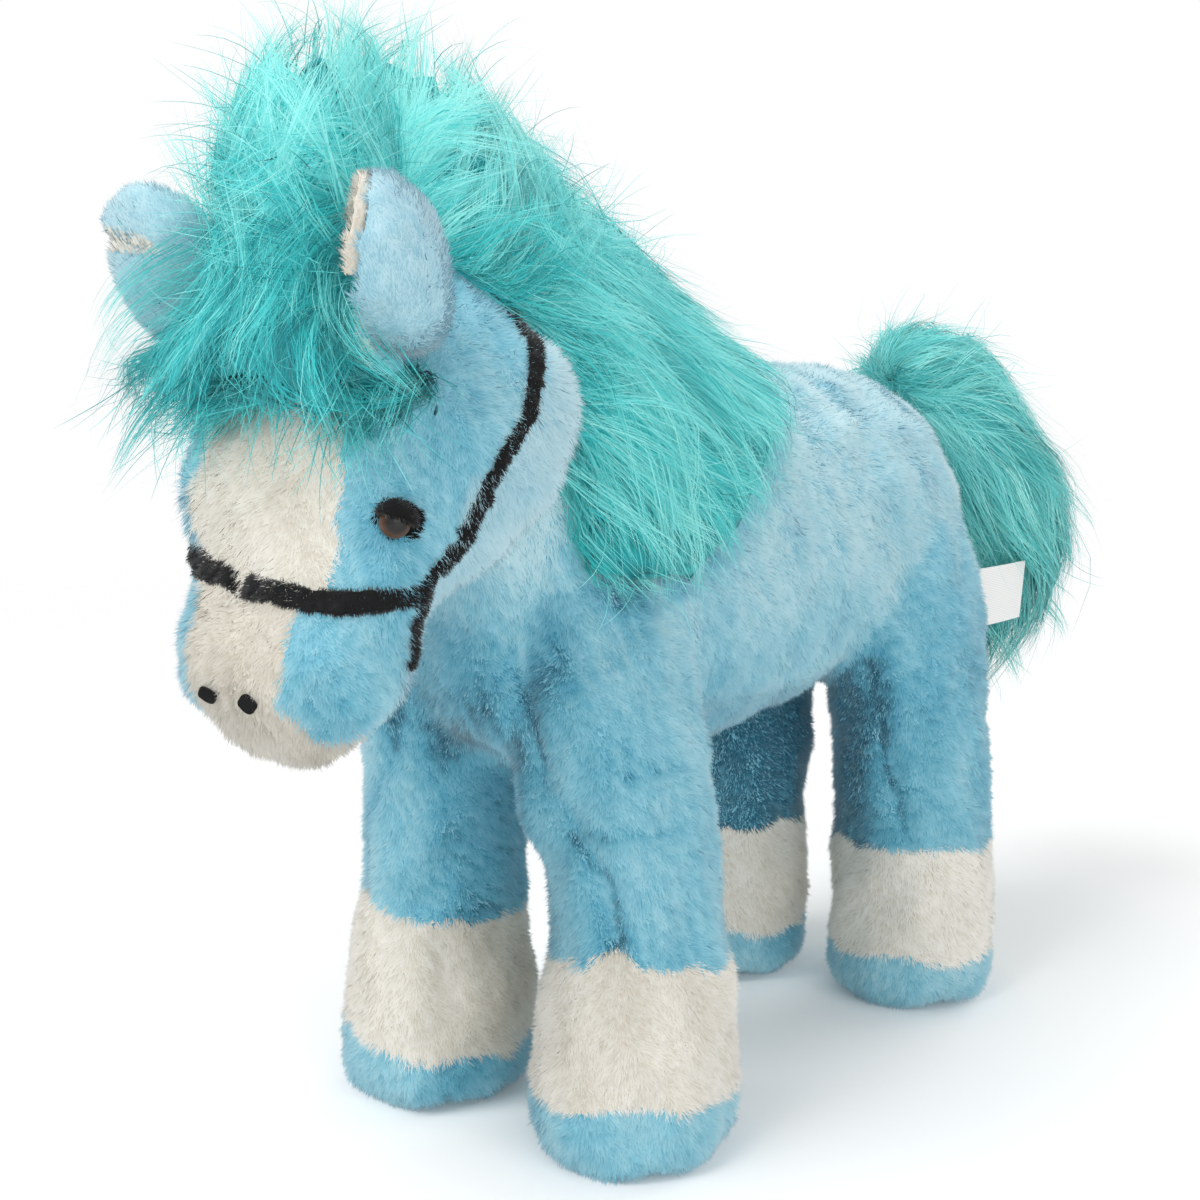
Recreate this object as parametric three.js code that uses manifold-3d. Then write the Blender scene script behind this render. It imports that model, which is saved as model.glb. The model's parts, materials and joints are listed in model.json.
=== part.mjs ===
// A stuffed pony in short-pile plush, with a long-pile mane and tail and a ribbon bridle.
// Units are millimetres. The pony faces -Y, its left side is +X, and it stands on z = 0.
import * as THREE from 'three';
import { mergeVertices } from 'three/addons/utils/BufferGeometryUtils.js';
import Module from 'manifold-3d';

const wasm = await Module();
wasm.setup();

// Fabrics and trims
const seamGap = 0.3;
const plushWall = 2.6;
const feltWall = 1;
const ribbonWall = 1.1;
const stitchWall = 0.7;
const labelWall = 0.8;

// Cutting and welding
const cutReach = 400;
const weldDistance = 0.0001;

// How far the rings of a stuffed form crowd towards its two ends
const ringCrowdingShare = 0.67;

const torso = {
  chestY: -117, length: 243, halfWidth: 46, halfHeight: 58, centreHeight: 156, gussetHeight: 118,
  chestDomeShare: 0.2, rumpDomeShare: 0.2, rings: 11, sides: 18,
};

// Along the torso from the chest: rise of its middle, half width and half height
const torsoShares = [
  [0, -0.22, 0.84, 0.68],
  [0.2, -0.08, 0.96, 0.92],
  [0.4, -0.01, 1, 1],
  [0.6, 0.01, 1, 0.97],
  [0.8, 0.05, 0.98, 0.86],
  [1, 0.05, 0.92, 0.74],
];

const neck = {
  baseY: -52, baseHeight: 160, pollY: -126, pollHeight: 212,
  baseHalfWidth: 44, pollHalfWidth: 40, baseHalfDepth: 52, pollHalfDepth: 38,
  domeShare: 0.3, rings: 6, sides: 16,
};

const head = {
  noseY: -191, chinHeight: 121, height: 131, depth: 92, halfWidth: 53,
  chinDomeShare: 0.2, crownDomeShare: 0.34, rings: 13, sides: 18,
};

// Up the head from the chin: face and nape behind the nose, as shares of its depth, and half width
const headShares = [
  [0, 0.09, 0.38, 0.5],
  [0.16, 0, 0.48, 0.66],
  [0.3, 0.02, 0.56, 0.67],
  [0.4, 0.1, 0.66, 0.7],
  [0.55, 0.15, 0.91, 0.94],
  [0.7, 0.18, 1, 1],
  [0.85, 0.23, 1, 0.96],
  [1, 0.32, 0.94, 0.84],
];

// Where a leg leaves the body, and how its foot and joints swell
const frontLeg = {
  hipAcross: 29, hipY: -79, topAcross: 18, footHalfWidth: 29, footHalfDepth: 32,
  ankleHalfWidth: 25, ankleHalfDepth: 27, kneeHalfWidth: 24.5, kneeHalfDepth: 27,
  thighHalfWidth: 23, thighHalfDepth: 31, toeForward: 3.5,
  hoofHeight: 20, sockHeight: 60, kneeHeight: 98, thighHeight: 140, topHeight: 188,
};
const hindLeg = {
  hipAcross: 30, hipY: 79, topAcross: 19, footHalfWidth: 28.5, footHalfDepth: 30,
  ankleHalfWidth: 26.5, ankleHalfDepth: 27, kneeHalfWidth: 26, kneeHalfDepth: 28,
  thighHalfWidth: 24, thighHalfDepth: 36, toeForward: 1,
  hoofHeight: 18, sockHeight: 55, kneeHeight: 92, thighHeight: 136, topHeight: 188,
};

// The middle of each foot on the floor, as this pony stands
const stances = [
  { name: 'left_front', size: frontLeg, side: 1, footAcross: 38.5, footY: -76 },
  { name: 'right_front', size: frontLeg, side: -1, footAcross: 35, footY: -77 },
  { name: 'left_hind', size: hindLeg, side: 1, footAcross: 38, footY: 76 },
  { name: 'right_hind', size: hindLeg, side: -1, footAcross: 27, footY: 60 },
];
const leg = { soleShare: 0.84, soleDomeShare: 0.06, topDomeShare: 0.22, rings: 9, sides: 12 };

const ear = {
  halfWidth: 17.5, halfDepth: 14.5, cupHalfWidth: 12.5, cupHalfDepth: 12, cupForward: 7, cupRise: 4,
  liningWall: 1.6, foldBack: 12, foldForward: 25, foldSteps: 3, baseDomeShare: 0.3, tipDomeShare: 0.45,
  rings: 6, sides: 12, roomRings: 4, roomSides: 8, roomGap: 3.2,
};

// How each ear stands, and how far its cup turns inwards. The middles of its base and of its tip are
// shares of the head's half width, of its depth behind the nose and of its height above the chin.
const earPoses = [
  {
    name: 'left', side: 1, turnInward: 0.9,
    baseShares: [0.68, 0.348, 0.785], tipShares: [0.755, 0.141, 1.115],
  },
  {
    name: 'right', side: -1, turnInward: 0.1,
    baseShares: [0.68, 0.37, 0.795], tipShares: [0.774, 0.12, 1.099],
  },
];
const earShares = [
  [0, 0.8, 1],
  [0.5, 1, 1],
  [1, 0.86, 0.75],
];

const eye = {
  height: 186, turnOutward: 1.02, radius: 4.6, rise: 3.2, rimThickness: 1, rings: 4, sides: 12,
  stemRadius: 1.6, stemLength: 9, washerRadius: 5, washerThickness: 1.2, washerSag: 2.3,
  feltHalfWidth: 6.8, feltHalfHeight: 5.6, feltBack: 1.2, feltUp: 1,
};
const nostril = { across: 7, height: 143, radius: 2.6, sides: 10 };
const blazeHalfWidth = 18;

// The outline of the blue muzzle patch: out from the middle and up from the chin, as shares of the head
const muzzlePatchShares = [
  [0.3, 0.42],
  [0.26, 0.3],
  [0.22, 0.16],
  [0.32, 0.1],
  [0.5, 0.08],
  [1.2, 0.14],
  [1.2, 0.42],
];

const bridle = { ribbonWidth: 7, strapWidth: 4.5, noseRise: 4, noseReach: 60, seamSteps: 8 };

// The seam behind the cheek, from under the jaw up to the crown, as shares of the head's depth and height
const cheekSeamShares = [
  [0.34, -0.1],
  [0.36, 0.22],
  [0.37, 0.355],
  [0.5, 0.46],
  [0.62, 0.6],
  [0.71, 0.78],
  [0.74, 1.1],
];

const mane = {
  pollY: -150, length: 170, lowHeight: 133, height: 172, halfWidth: 54,
  pinchShare: 0.45, lowerFullness: 3.2, pollDomeShare: 0.07, endDomeShare: 0.2, rings: 10, sides: 14,
};

// Along the mane from the poll: its top and bottom edge above its low line, and half width
const maneShares = [
  [0, 1, 0.56, 0.45],
  [0.18, 0.99, 0.31, 0.86],
  [0.34, 0.87, 0.02, 1],
  [0.52, 0.77, 0.02, 1],
  [0.68, 0.63, 0.15, 0.97],
  [0.84, 0.53, 0.3, 0.8],
  [1, 0.47, 0.37, 0.46],
];

const forelock = {
  backY: -141, length: 51, lowHeight: 199, height: 105, tuftHalfWidth: 25, fringeHalfWidth: 49,
  backDomeShare: 0.1, frontDomeShare: 0.3, rings: 6, sides: 12,
};

// Along the standing tuft and the hanging fringe from behind: top, bottom and half width
const tuftShares = [
  [0, 1, 0.35, 0.8],
  [0.3, 0.99, 0.25, 1],
  [0.55, 0.88, 0.2, 1],
  [0.8, 0.64, 0.16, 0.9],
];
const fringeShares = [
  [0.2, 0.34, 0.12, 0.9],
  [0.6, 0.36, 0.02, 1],
  [1, 0.34, 0, 0.9],
];

const tail = {
  rootY: 113, rootHeight: 202, bottomHeight: 80, height: 141, halfWidth: 42, halfDepth: 34,
  lean: 6, liftAngle: 60, liftSteps: 8, clearance: 1, tipDomeShare: 0.3, topDomeShare: 0.2,
  rings: 8, sides: 14,
};

// Up the tail from its tips: backwards from the root, half width and half depth
const tailShares = [
  [0, 1.05, 0.5, 0.5],
  [0.25, 1.35, 0.9, 0.9],
  [0.5, 1.43, 1, 1],
  [0.72, 1.1, 0.85, 0.95],
  [0.88, 0.62, 0.62, 0.85],
  [1, 0.52, 0.42, 0.6],
];

const label = {
  across: 32, lowHeight: 112, height: 23, length: 36, standOff: 0.9, seatShares: [0, 0.5, 1],
  turnOutward: 0.2, flapAngle: 20, fanSteps: 4,
};

const alongX = new THREE.Vector3(1, 0, 0);
const alongY = new THREE.Vector3(0, 1, 0);
const alongZ = new THREE.Vector3(0, 0, 1);

/** A geometry with only its positions, shared vertices merged and faces pointing out. */
function welded(geometry) {
  const bare = geometry.clone();
  bare.deleteAttribute('normal');
  bare.deleteAttribute('uv');
  const merged = mergeVertices(bare, weldDistance);
  const index = merged.index.array;
  const corner = [0, 1, 2].map(() => new THREE.Vector3());
  let volume = 0;
  for (let i = 0; i < index.length; i += 3) {
    corner.forEach((point, k) => point.fromBufferAttribute(merged.attributes.position, index[i + k]));
    volume += corner[0].dot(corner[1].clone().cross(corner[2]));
  }
  if (volume < 0) {
    for (let i = 0; i < index.length; i += 3) {
      [index[i], index[i + 1]] = [index[i + 1], index[i]];
    }
  }
  return merged;
}

/** A closed geometry as a solid that can be joined and cut. */
function solidOf(geometry) {
  const merged = welded(geometry);
  const vertProperties = new Float32Array(merged.attributes.position.array);
  const triVerts = new Uint32Array(merged.index.array);
  return new wasm.Manifold(new wasm.Mesh({ numProp: 3, vertProperties, triVerts }));
}

/** A solid's faces as a geometry. */
function geometryOf(solid) {
  const mesh = solid.getMesh();
  const geometry = new THREE.BufferGeometry();
  geometry.setAttribute('position', new THREE.BufferAttribute(new Float32Array(mesh.vertProperties), 3));
  geometry.setIndex(new THREE.BufferAttribute(new Uint32Array(mesh.triVerts), 1));
  return geometry;
}

/** The same geometry with its skin moved outwards by a distance. */
function swollen(geometry, distance) {
  const moved = welded(geometry);
  moved.computeVertexNormals();
  const { position, normal } = moved.attributes;
  const point = new THREE.Vector3();
  const outwards = new THREE.Vector3();
  for (let i = 0; i < position.count; i++) {
    outwards.fromBufferAttribute(normal, i);
    point.fromBufferAttribute(position, i).addScaledVector(outwards, distance);
    position.setXYZ(i, point.x, point.y, point.z);
  }
  return moved;
}

/** The left piece's mirror image, for the right side. */
function mirrored(geometry) {
  return welded(geometry.clone().applyMatrix4(new THREE.Matrix4().makeScale(-1, 1, 1)));
}

/** A geometry turned about an axis through a pivot. */
function turned(geometry, pivot, axis, angle) {
  const matrix = new THREE.Matrix4().makeTranslation(pivot.x, pivot.y, pivot.z);
  matrix.multiply(new THREE.Matrix4().makeRotationAxis(axis, angle));
  matrix.multiply(new THREE.Matrix4().makeTranslation(-pivot.x, -pivot.y, -pivot.z));
  return geometry.clone().applyMatrix4(matrix);
}

/** The solids joined in one. */
function joined(solids) {
  return solids.reduce((whole, solid) => whole.add(solid));
}

/** A block between two corners. */
function blockBetween(low, high) {
  const size = new THREE.Vector3().subVectors(high, low);
  const middle = new THREE.Vector3().addVectors(low, high).multiplyScalar(0.5);
  return solidOf(new THREE.BoxGeometry(size.x, size.y, size.z).translate(middle.x, middle.y, middle.z));
}

/** All that lies between two heights. */
function layerBetween(low, high) {
  return blockBetween(
    new THREE.Vector3(-cutReach, -cutReach, low),
    new THREE.Vector3(cutReach, cutReach, high),
  );
}

/** A side view outline, given as (y, z) points, run right through the pony from side to side. */
function sidePrism(outline) {
  const depth = 2 * cutReach;
  const prism = new THREE.ExtrudeGeometry(new THREE.Shape(outline), { depth, bevelEnabled: false });
  prism.translate(0, 0, -cutReach);
  return solidOf(prism.applyMatrix4(new THREE.Matrix4().makeBasis(alongY, alongZ, alongX)));
}

/** A front view outline, given as (x, z) points, run through the pony from a depth y forwards. */
function frontPrism(outline, backY) {
  const depth = cutReach;
  const prism = new THREE.ExtrudeGeometry(new THREE.Shape(outline), { depth, bevelEnabled: false });
  const turn = new THREE.Matrix4().makeBasis(alongX, alongZ, alongY.clone().negate());
  return solidOf(prism.applyMatrix4(turn).translate(0, backY, 0));
}

/** The share of its full size that a body has at a share of the way into its domed end. */
function domeSize(share) {
  return share >= 1 ? 1 : Math.sqrt(share * (2 - share));
}

/** Places along +Y from a start: rows give the share along, the top, the bottom and the half width. */
function placesAlongY(shares, startY, length, lowHeight, height, halfWidth) {
  return shares.map(([along, top, bottom, wide]) => ({
    centre: new THREE.Vector3(0, startY + length * along, lowHeight + (height * (top + bottom)) / 2),
    halfWidth: halfWidth * wide,
    halfDepth: (height * (top - bottom)) / 2,
  }));
}

/**
 * A point of a section, as shares of its half width and half depth. A pinch narrows the upper half
 * towards its top, and a fullness over 2 squares the lower half.
 */
function sectionPoint(angle, pinch, lowerFullness) {
  const wide = Math.cos(angle);
  const high = Math.sin(angle);
  if (high >= 0) {
    return [wide * (1 - pinch * high), high];
  }
  const power = 2 / lowerFullness;
  return [Math.sign(wide) * Math.abs(wide) ** power, -(Math.abs(high) ** power)];
}

/**
 * A closed body that swells and tapers through its places, with domed ends. A place is
 * { centre, halfWidth, halfDepth }; the width runs along `across` and the depth along `deep`.
 */
function stuffedGeometry({
  places, across, deep, startDome, endDome, rings, sides, flatShare = 0, pinch = 0, lowerFullness = 2,
}) {
  const centres = new THREE.CatmullRomCurve3(places.map((place) => place.centre));
  const halves = new THREE.CatmullRomCurve3(
    places.map((place) => new THREE.Vector3(place.halfWidth, place.halfDepth, 0)),
  );
  const points = [];
  const firstRing = flatShare > 0 ? 0 : 1;
  for (let ring = firstRing; ring < rings; ring++) {
    const even = ring / rings;
    const share = even - (ringCrowdingShare * Math.sin(2 * Math.PI * even)) / (2 * Math.PI);
    const start = flatShare + (1 - flatShare) * domeSize(share / startDome);
    const size = start * domeSize((1 - share) / endDome);
    const centre = centres.getPoint(share);
    const half = halves.getPoint(share).multiplyScalar(size);
    for (let side = 0; side < sides; side++) {
      const [wide, high] = sectionPoint((2 * Math.PI * side) / sides, pinch, lowerFullness);
      const point = centre.clone().addScaledVector(across, half.x * wide);
      points.push(point.addScaledVector(deep, half.y * high));
    }
  }
  const startPole = points.push(centres.getPoint(0)) - 1;
  const endPole = points.push(centres.getPoint(1)) - 1;
  const faces = [];
  const ringCount = rings - firstRing;
  for (let side = 0; side < sides; side++) {
    const next = (side + 1) % sides;
    faces.push(startPole, next, side);
    for (let ring = 0; ring + 1 < ringCount; ring++) {
      const low = ring * sides;
      const high = low + sides;
      faces.push(low + side, low + next, high + next, low + side, high + next, high + side);
    }
    const last = (ringCount - 1) * sides;
    faces.push(endPole, last + side, last + next);
  }
  const geometry = new THREE.BufferGeometry();
  const positions = points.flatMap((point) => point.toArray());
  geometry.setAttribute('position', new THREE.Float32BufferAttribute(positions, 3));
  geometry.setIndex(faces);
  return welded(geometry);
}

/** A sewn outline as a function: its solid at any distance out from, or in from, the plush surface. */
function outlineOf(geometry) {
  return (distance) => solidOf(swollen(geometry, distance));
}

const pieces = [];
const hinges = {};

/** Puts a finished piece in the pony, in its own colour and finish. */
function addPiece(name, geometry, finish) {
  const mesh = new THREE.Mesh(geometry, new THREE.MeshStandardMaterial(finish));
  mesh.name = name;
  pieces.push(mesh);
  return mesh;
}

/** Puts a left piece and its mirror image in the pony. */
function addPair(name, geometry, finish) {
  addPiece(`left_${name}`, geometry, finish);
  addPiece(`right_${name}`, mirrored(geometry), finish);
}

const finishes = {
  bluePlush: { color: 0x8cc3df, roughness: 0.95, metalness: 0 },
  paleBluePlush: { color: 0xa4d2e6, roughness: 0.95, metalness: 0 },
  whitePlush: { color: 0xe6e1d5, roughness: 0.95, metalness: 0 },
  stuffing: { color: 0xf2f0ea, roughness: 1, metalness: 0 },
  longPile: { color: 0x4fc5be, roughness: 0.8, metalness: 0 },
  velvet: { color: 0x17181b, roughness: 0.9, metalness: 0 },
  felt: { color: 0x141416, roughness: 1, metalness: 0 },
  embroidery: { color: 0x101012, roughness: 0.6, metalness: 0 },
  eyePlastic: { color: 0x3a2214, roughness: 0.1, metalness: 0 },
  washerPlastic: { color: 0xd8d8d4, roughness: 0.5, metalness: 0 },
  satinLabel: { color: 0xf4f4f2, roughness: 0.6, metalness: 0 },
};

// The body and the neck
const torsoGeometry = stuffedGeometry({
  places: torsoShares.map(([along, rise, wide, high]) => ({
    centre: new THREE.Vector3(
      0,
      torso.chestY + torso.length * along,
      torso.centreHeight + torso.halfHeight * rise,
    ),
    halfWidth: torso.halfWidth * wide,
    halfDepth: torso.halfHeight * high,
  })),
  across: alongX, deep: alongZ, startDome: torso.chestDomeShare, endDome: torso.rumpDomeShare,
  rings: torso.rings, sides: torso.sides,
});
const torsoOutline = outlineOf(torsoGeometry);

const neckBase = new THREE.Vector3(0, neck.baseY, neck.baseHeight);
const neckPoll = new THREE.Vector3(0, neck.pollY, neck.pollHeight);
const neckOutline = outlineOf(stuffedGeometry({
  places: [
    { centre: neckBase, halfWidth: neck.baseHalfWidth, halfDepth: neck.baseHalfDepth },
    { centre: neckPoll, halfWidth: neck.pollHalfWidth, halfDepth: neck.pollHalfDepth },
  ],
  across: alongX, deep: neckPoll.clone().sub(neckBase).normalize().cross(alongX),
  startDome: neck.domeShare, endDome: neck.domeShare, rings: neck.rings, sides: neck.sides,
}));

/** The whole body, neck included, at a distance out from its plush surface. */
function bodyOutline(distance) {
  return torsoOutline(distance).add(neckOutline(distance));
}

// The head
const headGeometry = stuffedGeometry({
  places: headShares.map(([up, face, nape, wide]) => ({
    centre: new THREE.Vector3(
      0,
      head.noseY + (head.depth * (face + nape)) / 2,
      head.chinHeight + head.height * up,
    ),
    halfWidth: head.halfWidth * wide,
    halfDepth: (head.depth * (nape - face)) / 2,
  })),
  across: alongX, deep: alongY, startDome: head.chinDomeShare, endDome: head.crownDomeShare,
  rings: head.rings, sides: head.sides,
});
const headOutline = outlineOf(headGeometry);
const headCleared = headOutline(seamGap);

/** The sewn panels of a shell: what lies inside a region, and what lies outside it by a seam gap. */
function parted(shell, region, clearedRegion) {
  return [shell.intersect(region), shell.subtract(clearedRegion)];
}

// The body's covers: two side panels over the back and the neck, and a gusset under the belly
const farHigh = new THREE.Vector3(cutReach, cutReach, cutReach);
const leftHalf = blockBetween(new THREE.Vector3(seamGap / 2, -cutReach, -cutReach), farHigh);
const bodyShell = bodyOutline(0).subtract(bodyOutline(-plushWall)).subtract(headCleared);
const [gusset, backCover] = parted(
  bodyShell,
  layerBetween(-cutReach, torso.gussetHeight),
  layerBetween(-cutReach, torso.gussetHeight + seamGap),
);
addPiece('belly_gusset', geometryOf(gusset), finishes.bluePlush);
addPair('side_panel', geometryOf(backCover.intersect(leftHalf)), finishes.bluePlush);
addPiece('body_stuffing', geometryOf(torsoOutline(-plushWall - seamGap)), finishes.stuffing);
const neckStuffing = neckOutline(-plushWall - seamGap).subtract(headCleared);
const neckRoom = torsoOutline(-plushWall);
addPiece('neck_stuffing', geometryOf(neckStuffing.subtract(neckRoom)), finishes.stuffing);

// The legs, each a cover, a sock and a hoof over its stuffing
/** A leg's outline, from its sole on the floor up into the body. */
function legGeometry({ size, side, footAcross, footY }) {
  const foot = new THREE.Vector3(side * footAcross, footY, 0);
  const hip = new THREE.Vector3(side * size.hipAcross, size.hipY, size.thighHeight);
  const place = (height, forward, halfWidth, halfDepth) => {
    const aboveSock = Math.max(0, height - size.sockHeight);
    const centre = foot.clone().lerp(hip, aboveSock / (hip.z - size.sockHeight));
    centre.y -= forward;
    return { centre: centre.setZ(height), halfWidth, halfDepth };
  };
  const top = place(size.thighHeight, 0, size.thighHalfWidth, size.thighHalfDepth);
  top.centre.set(side * size.topAcross, size.hipY, size.topHeight);
  return stuffedGeometry({
    places: [
      place(0, size.toeForward, size.footHalfWidth, size.footHalfDepth),
      place(size.sockHeight / 2, size.toeForward / 2, size.footHalfWidth, size.footHalfDepth),
      place(size.sockHeight, 0, size.ankleHalfWidth, size.ankleHalfDepth),
      place(size.kneeHeight, 0, size.kneeHalfWidth, size.kneeHalfDepth),
      place(size.thighHeight, 0, size.thighHalfWidth, size.thighHalfDepth),
      top,
    ],
    across: alongX, deep: alongY, startDome: leg.soleDomeShare, endDome: leg.topDomeShare,
    rings: leg.rings, sides: leg.sides, flatShare: leg.soleShare,
  });
}

const bodyCleared = bodyOutline(seamGap);
const legsCleared = [];
for (const stance of stances) {
  const { hoofHeight, sockHeight } = stance.size;
  const outline = outlineOf(legGeometry(stance));
  const shell = outline(0).subtract(outline(-plushWall)).subtract(bodyCleared);
  const stuffing = outline(-plushWall - seamGap).subtract(bodyCleared);
  addPiece(`${stance.name}_hoof`, geometryOf(shell.intersect(layerBetween(-cutReach, hoofHeight))),
    finishes.bluePlush);
  addPiece(`${stance.name}_sock`,
    geometryOf(shell.intersect(layerBetween(hoofHeight + seamGap, sockHeight))), finishes.whitePlush);
  addPiece(`${stance.name}_leg_cover`,
    geometryOf(shell.intersect(layerBetween(sockHeight + seamGap, cutReach))), finishes.bluePlush);
  addPiece(`${stance.name}_leg_stuffing`, geometryOf(stuffing), finishes.stuffing);
  legsCleared.push(outline(seamGap));
}

// Seats of the small face pieces, found on the head's plush
const headBox = new THREE.Box3().setFromObject(new THREE.Mesh(headGeometry));

/** Where a ray from inside the head comes out of its plush, with the surface's direction there. */
function seatOnHead(origin, direction) {
  const skin = new THREE.Mesh(headGeometry, new THREE.MeshBasicMaterial({ side: THREE.DoubleSide }));
  const [hit] = new THREE.Raycaster(origin, direction).intersectObject(skin);
  return { point: hit.point, normal: hit.face.normal.clone() };
}

/** A shape made along +Y from its base, stood on a seat so that +Y follows the surface's direction. */
function onSeat(geometry, seat, rise) {
  const turn = new THREE.Quaternion().setFromUnitVectors(alongY, seat.normal);
  const middle = seat.point.clone().addScaledVector(seat.normal, rise);
  return geometry.clone().applyQuaternion(turn).translate(middle.x, middle.y, middle.z);
}

/** A plug of an oval section right through the skin at a seat. */
function seatPlug(seat, halfWidth, halfHeight, inward, sides) {
  const plug = new THREE.CylinderGeometry(1, 1, 1, sides).scale(halfWidth, 2 * inward, halfHeight);
  return solidOf(onSeat(plug, seat, 0));
}

const eyeSeat = seatOnHead(
  new THREE.Vector3(0, (headBox.min.y + headBox.max.y) / 2, eye.height),
  new THREE.Vector3(Math.sin(eye.turnOutward), -Math.cos(eye.turnOutward), 0),
);
const nostrilSeat = seatOnHead(
  new THREE.Vector3(nostril.across, head.noseY + head.depth / 4, nostril.height),
  alongY.clone().negate(),
);

/** A left room joined with its mirror image. */
function bothSides(room) {
  return room.add(solidOf(mirrored(geometryOf(room))));
}

// The room that each eye takes: its stem's hole, and its dome over the felt
const holeRadius = eye.stemRadius + seamGap;
const stemHoles = bothSides(seatPlug(eyeSeat, holeRadius, holeRadius, eye.stemLength, eye.sides));
const eyeRise = feltWall + 2 * seamGap;
const domeRadius = eye.radius + seamGap;
const domeHeight = eye.rimThickness + eye.rise + seamGap;
const domePlug = new THREE.CylinderGeometry(1, 1, 1, eye.sides).scale(domeRadius, domeHeight, domeRadius);
const domeRooms = bothSides(solidOf(onSeat(domePlug, eyeSeat, eyeRise + (domeHeight - seamGap) / 2)));

// The head's covers
const headWall = headOutline(0).subtract(headOutline(-plushWall)).subtract(stemHoles);
const seamPoints = cheekSeamShares.map(
  ([back, up]) => new THREE.Vector2(head.noseY + head.depth * back, head.chinHeight + head.height * up),
);
const cheekSeam = new THREE.SplineCurve(seamPoints).getPoints(bridle.seamSteps);

/** All of the head in front of the cheek seam, the seam moved back by a distance. */
function frontOfSeam(distance) {
  const seam = cheekSeam.map((point) => new THREE.Vector2(point.x + distance, point.y));
  const frontY = head.noseY - head.depth;
  const [first, last] = [seam[0], seam[seam.length - 1]];
  return sidePrism([...seam, new THREE.Vector2(frontY, last.y), new THREE.Vector2(frontY, first.y)]);
}

const [, strapFoot, bandSeat] = seamPoints;
const bandFront = new THREE.Vector2(head.noseY - bridle.noseReach, bandSeat.y + bridle.noseRise);

/** All that lies under the noseband's middle line, the line moved up by a distance. */
function underBand(distance) {
  const back = new THREE.Vector2(head.noseY + head.depth, bandSeat.y + distance);
  return sidePrism([
    new THREE.Vector2(bandSeat.x, bandSeat.y + distance),
    new THREE.Vector2(bandFront.x, bandFront.y + distance),
    new THREE.Vector2(bandFront.x, head.chinHeight - head.height),
    new THREE.Vector2(back.x, head.chinHeight - head.height),
    back,
  ]);
}

/** The left muzzle patch's region, its edge moved outwards by a distance. */
function patchRegion(distance) {
  const outline = muzzlePatchShares.map(([out, up]) => new THREE.Vector2(
    head.halfWidth * out - distance,
    head.chinHeight + head.height * up - distance,
  ));
  return frontPrism(outline, headBox.max.y);
}

const [frontWall, jawWall] = parted(headWall, frontOfSeam(0), frontOfSeam(seamGap));
const [muzzleWall, faceWall] = parted(frontWall, underBand(0), underBand(seamGap));
const blazeBlock = (halfWidth) => blockBetween(
  new THREE.Vector3(-halfWidth, -cutReach, -cutReach),
  new THREE.Vector3(halfWidth, cutReach, cutReach),
);
const [blaze, cheeks] = parted(faceWall, blazeBlock(blazeHalfWidth), blazeBlock(blazeHalfWidth + seamGap));
const patch = muzzleWall.intersect(patchRegion(0));
const patchesCleared = bothSides(patchRegion(seamGap));
addPiece('blaze_panel', geometryOf(blaze), finishes.whitePlush);
addPair('cheek_panel', geometryOf(cheeks.intersect(leftHalf)), finishes.bluePlush);
addPair('jaw_panel', geometryOf(jawWall.intersect(leftHalf)), finishes.paleBluePlush);
addPiece('muzzle_panel', geometryOf(muzzleWall.subtract(patchesCleared)), finishes.whitePlush);
addPair('muzzle_patch', geometryOf(patch), finishes.bluePlush);

// The eyes, each a moulded dome on a stem through the felt and the plush, held by a washer inside
const domeProfile = [
  new THREE.Vector2(0, -eye.stemLength),
  new THREE.Vector2(eye.stemRadius, -eye.stemLength),
  new THREE.Vector2(eye.stemRadius, 0),
  new THREE.Vector2(eye.radius, 0),
];
for (let ring = 0; ring < eye.rings; ring++) {
  const angle = (Math.PI / 2) * (ring / eye.rings);
  domeProfile.push(new THREE.Vector2(
    eye.radius * Math.cos(angle),
    eye.rimThickness + eye.rise * Math.sin(angle),
  ));
}
domeProfile.push(new THREE.Vector2(0, eye.rimThickness + eye.rise));
addPair('eye', welded(onSeat(new THREE.LatheGeometry(domeProfile, eye.sides), eyeSeat, eyeRise)),
  finishes.eyePlastic);

const washerProfile = [
  new THREE.Vector2(holeRadius, 0),
  new THREE.Vector2(eye.washerRadius, 0),
  new THREE.Vector2(eye.washerRadius, eye.washerThickness),
  new THREE.Vector2(holeRadius, eye.washerThickness),
  new THREE.Vector2(holeRadius, 0),
];
const washerDepth = plushWall + seamGap + eye.washerSag + eye.washerThickness;
const washer = onSeat(new THREE.LatheGeometry(washerProfile, eye.sides), eyeSeat, -washerDepth);
addPair('eye_washer', welded(washer), finishes.washerPlastic);

const feltSeat = {
  point: eyeSeat.point.clone().add(new THREE.Vector3(0, eye.feltBack, eye.feltUp)),
  normal: eyeSeat.normal,
};
const feltLayer = headOutline(seamGap + feltWall).subtract(headCleared);
const felt = feltLayer
  .intersect(seatPlug(feltSeat, eye.feltHalfWidth, eye.feltHalfHeight, eye.stemLength, eye.sides))
  .subtract(stemHoles)
  .subtract(domeRooms);
addPair('eye_felt', geometryOf(felt), finishes.felt);

const nostrilPlug = seatPlug(nostrilSeat, nostril.radius, nostril.radius, eye.stemLength, nostril.sides);
const stitches = headOutline(seamGap + stitchWall).subtract(headCleared).intersect(nostrilPlug);
addPair('nostril', geometryOf(stitches), finishes.embroidery);

const pocketRadius = eye.washerRadius + seamGap;
const pockets = bothSides(seatPlug(eyeSeat, pocketRadius, pocketRadius, eye.stemLength, eye.sides));
const headStuffing = headOutline(-plushWall - seamGap).subtract(pockets);
addPiece('head_stuffing', geometryOf(headStuffing), finishes.stuffing);

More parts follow.
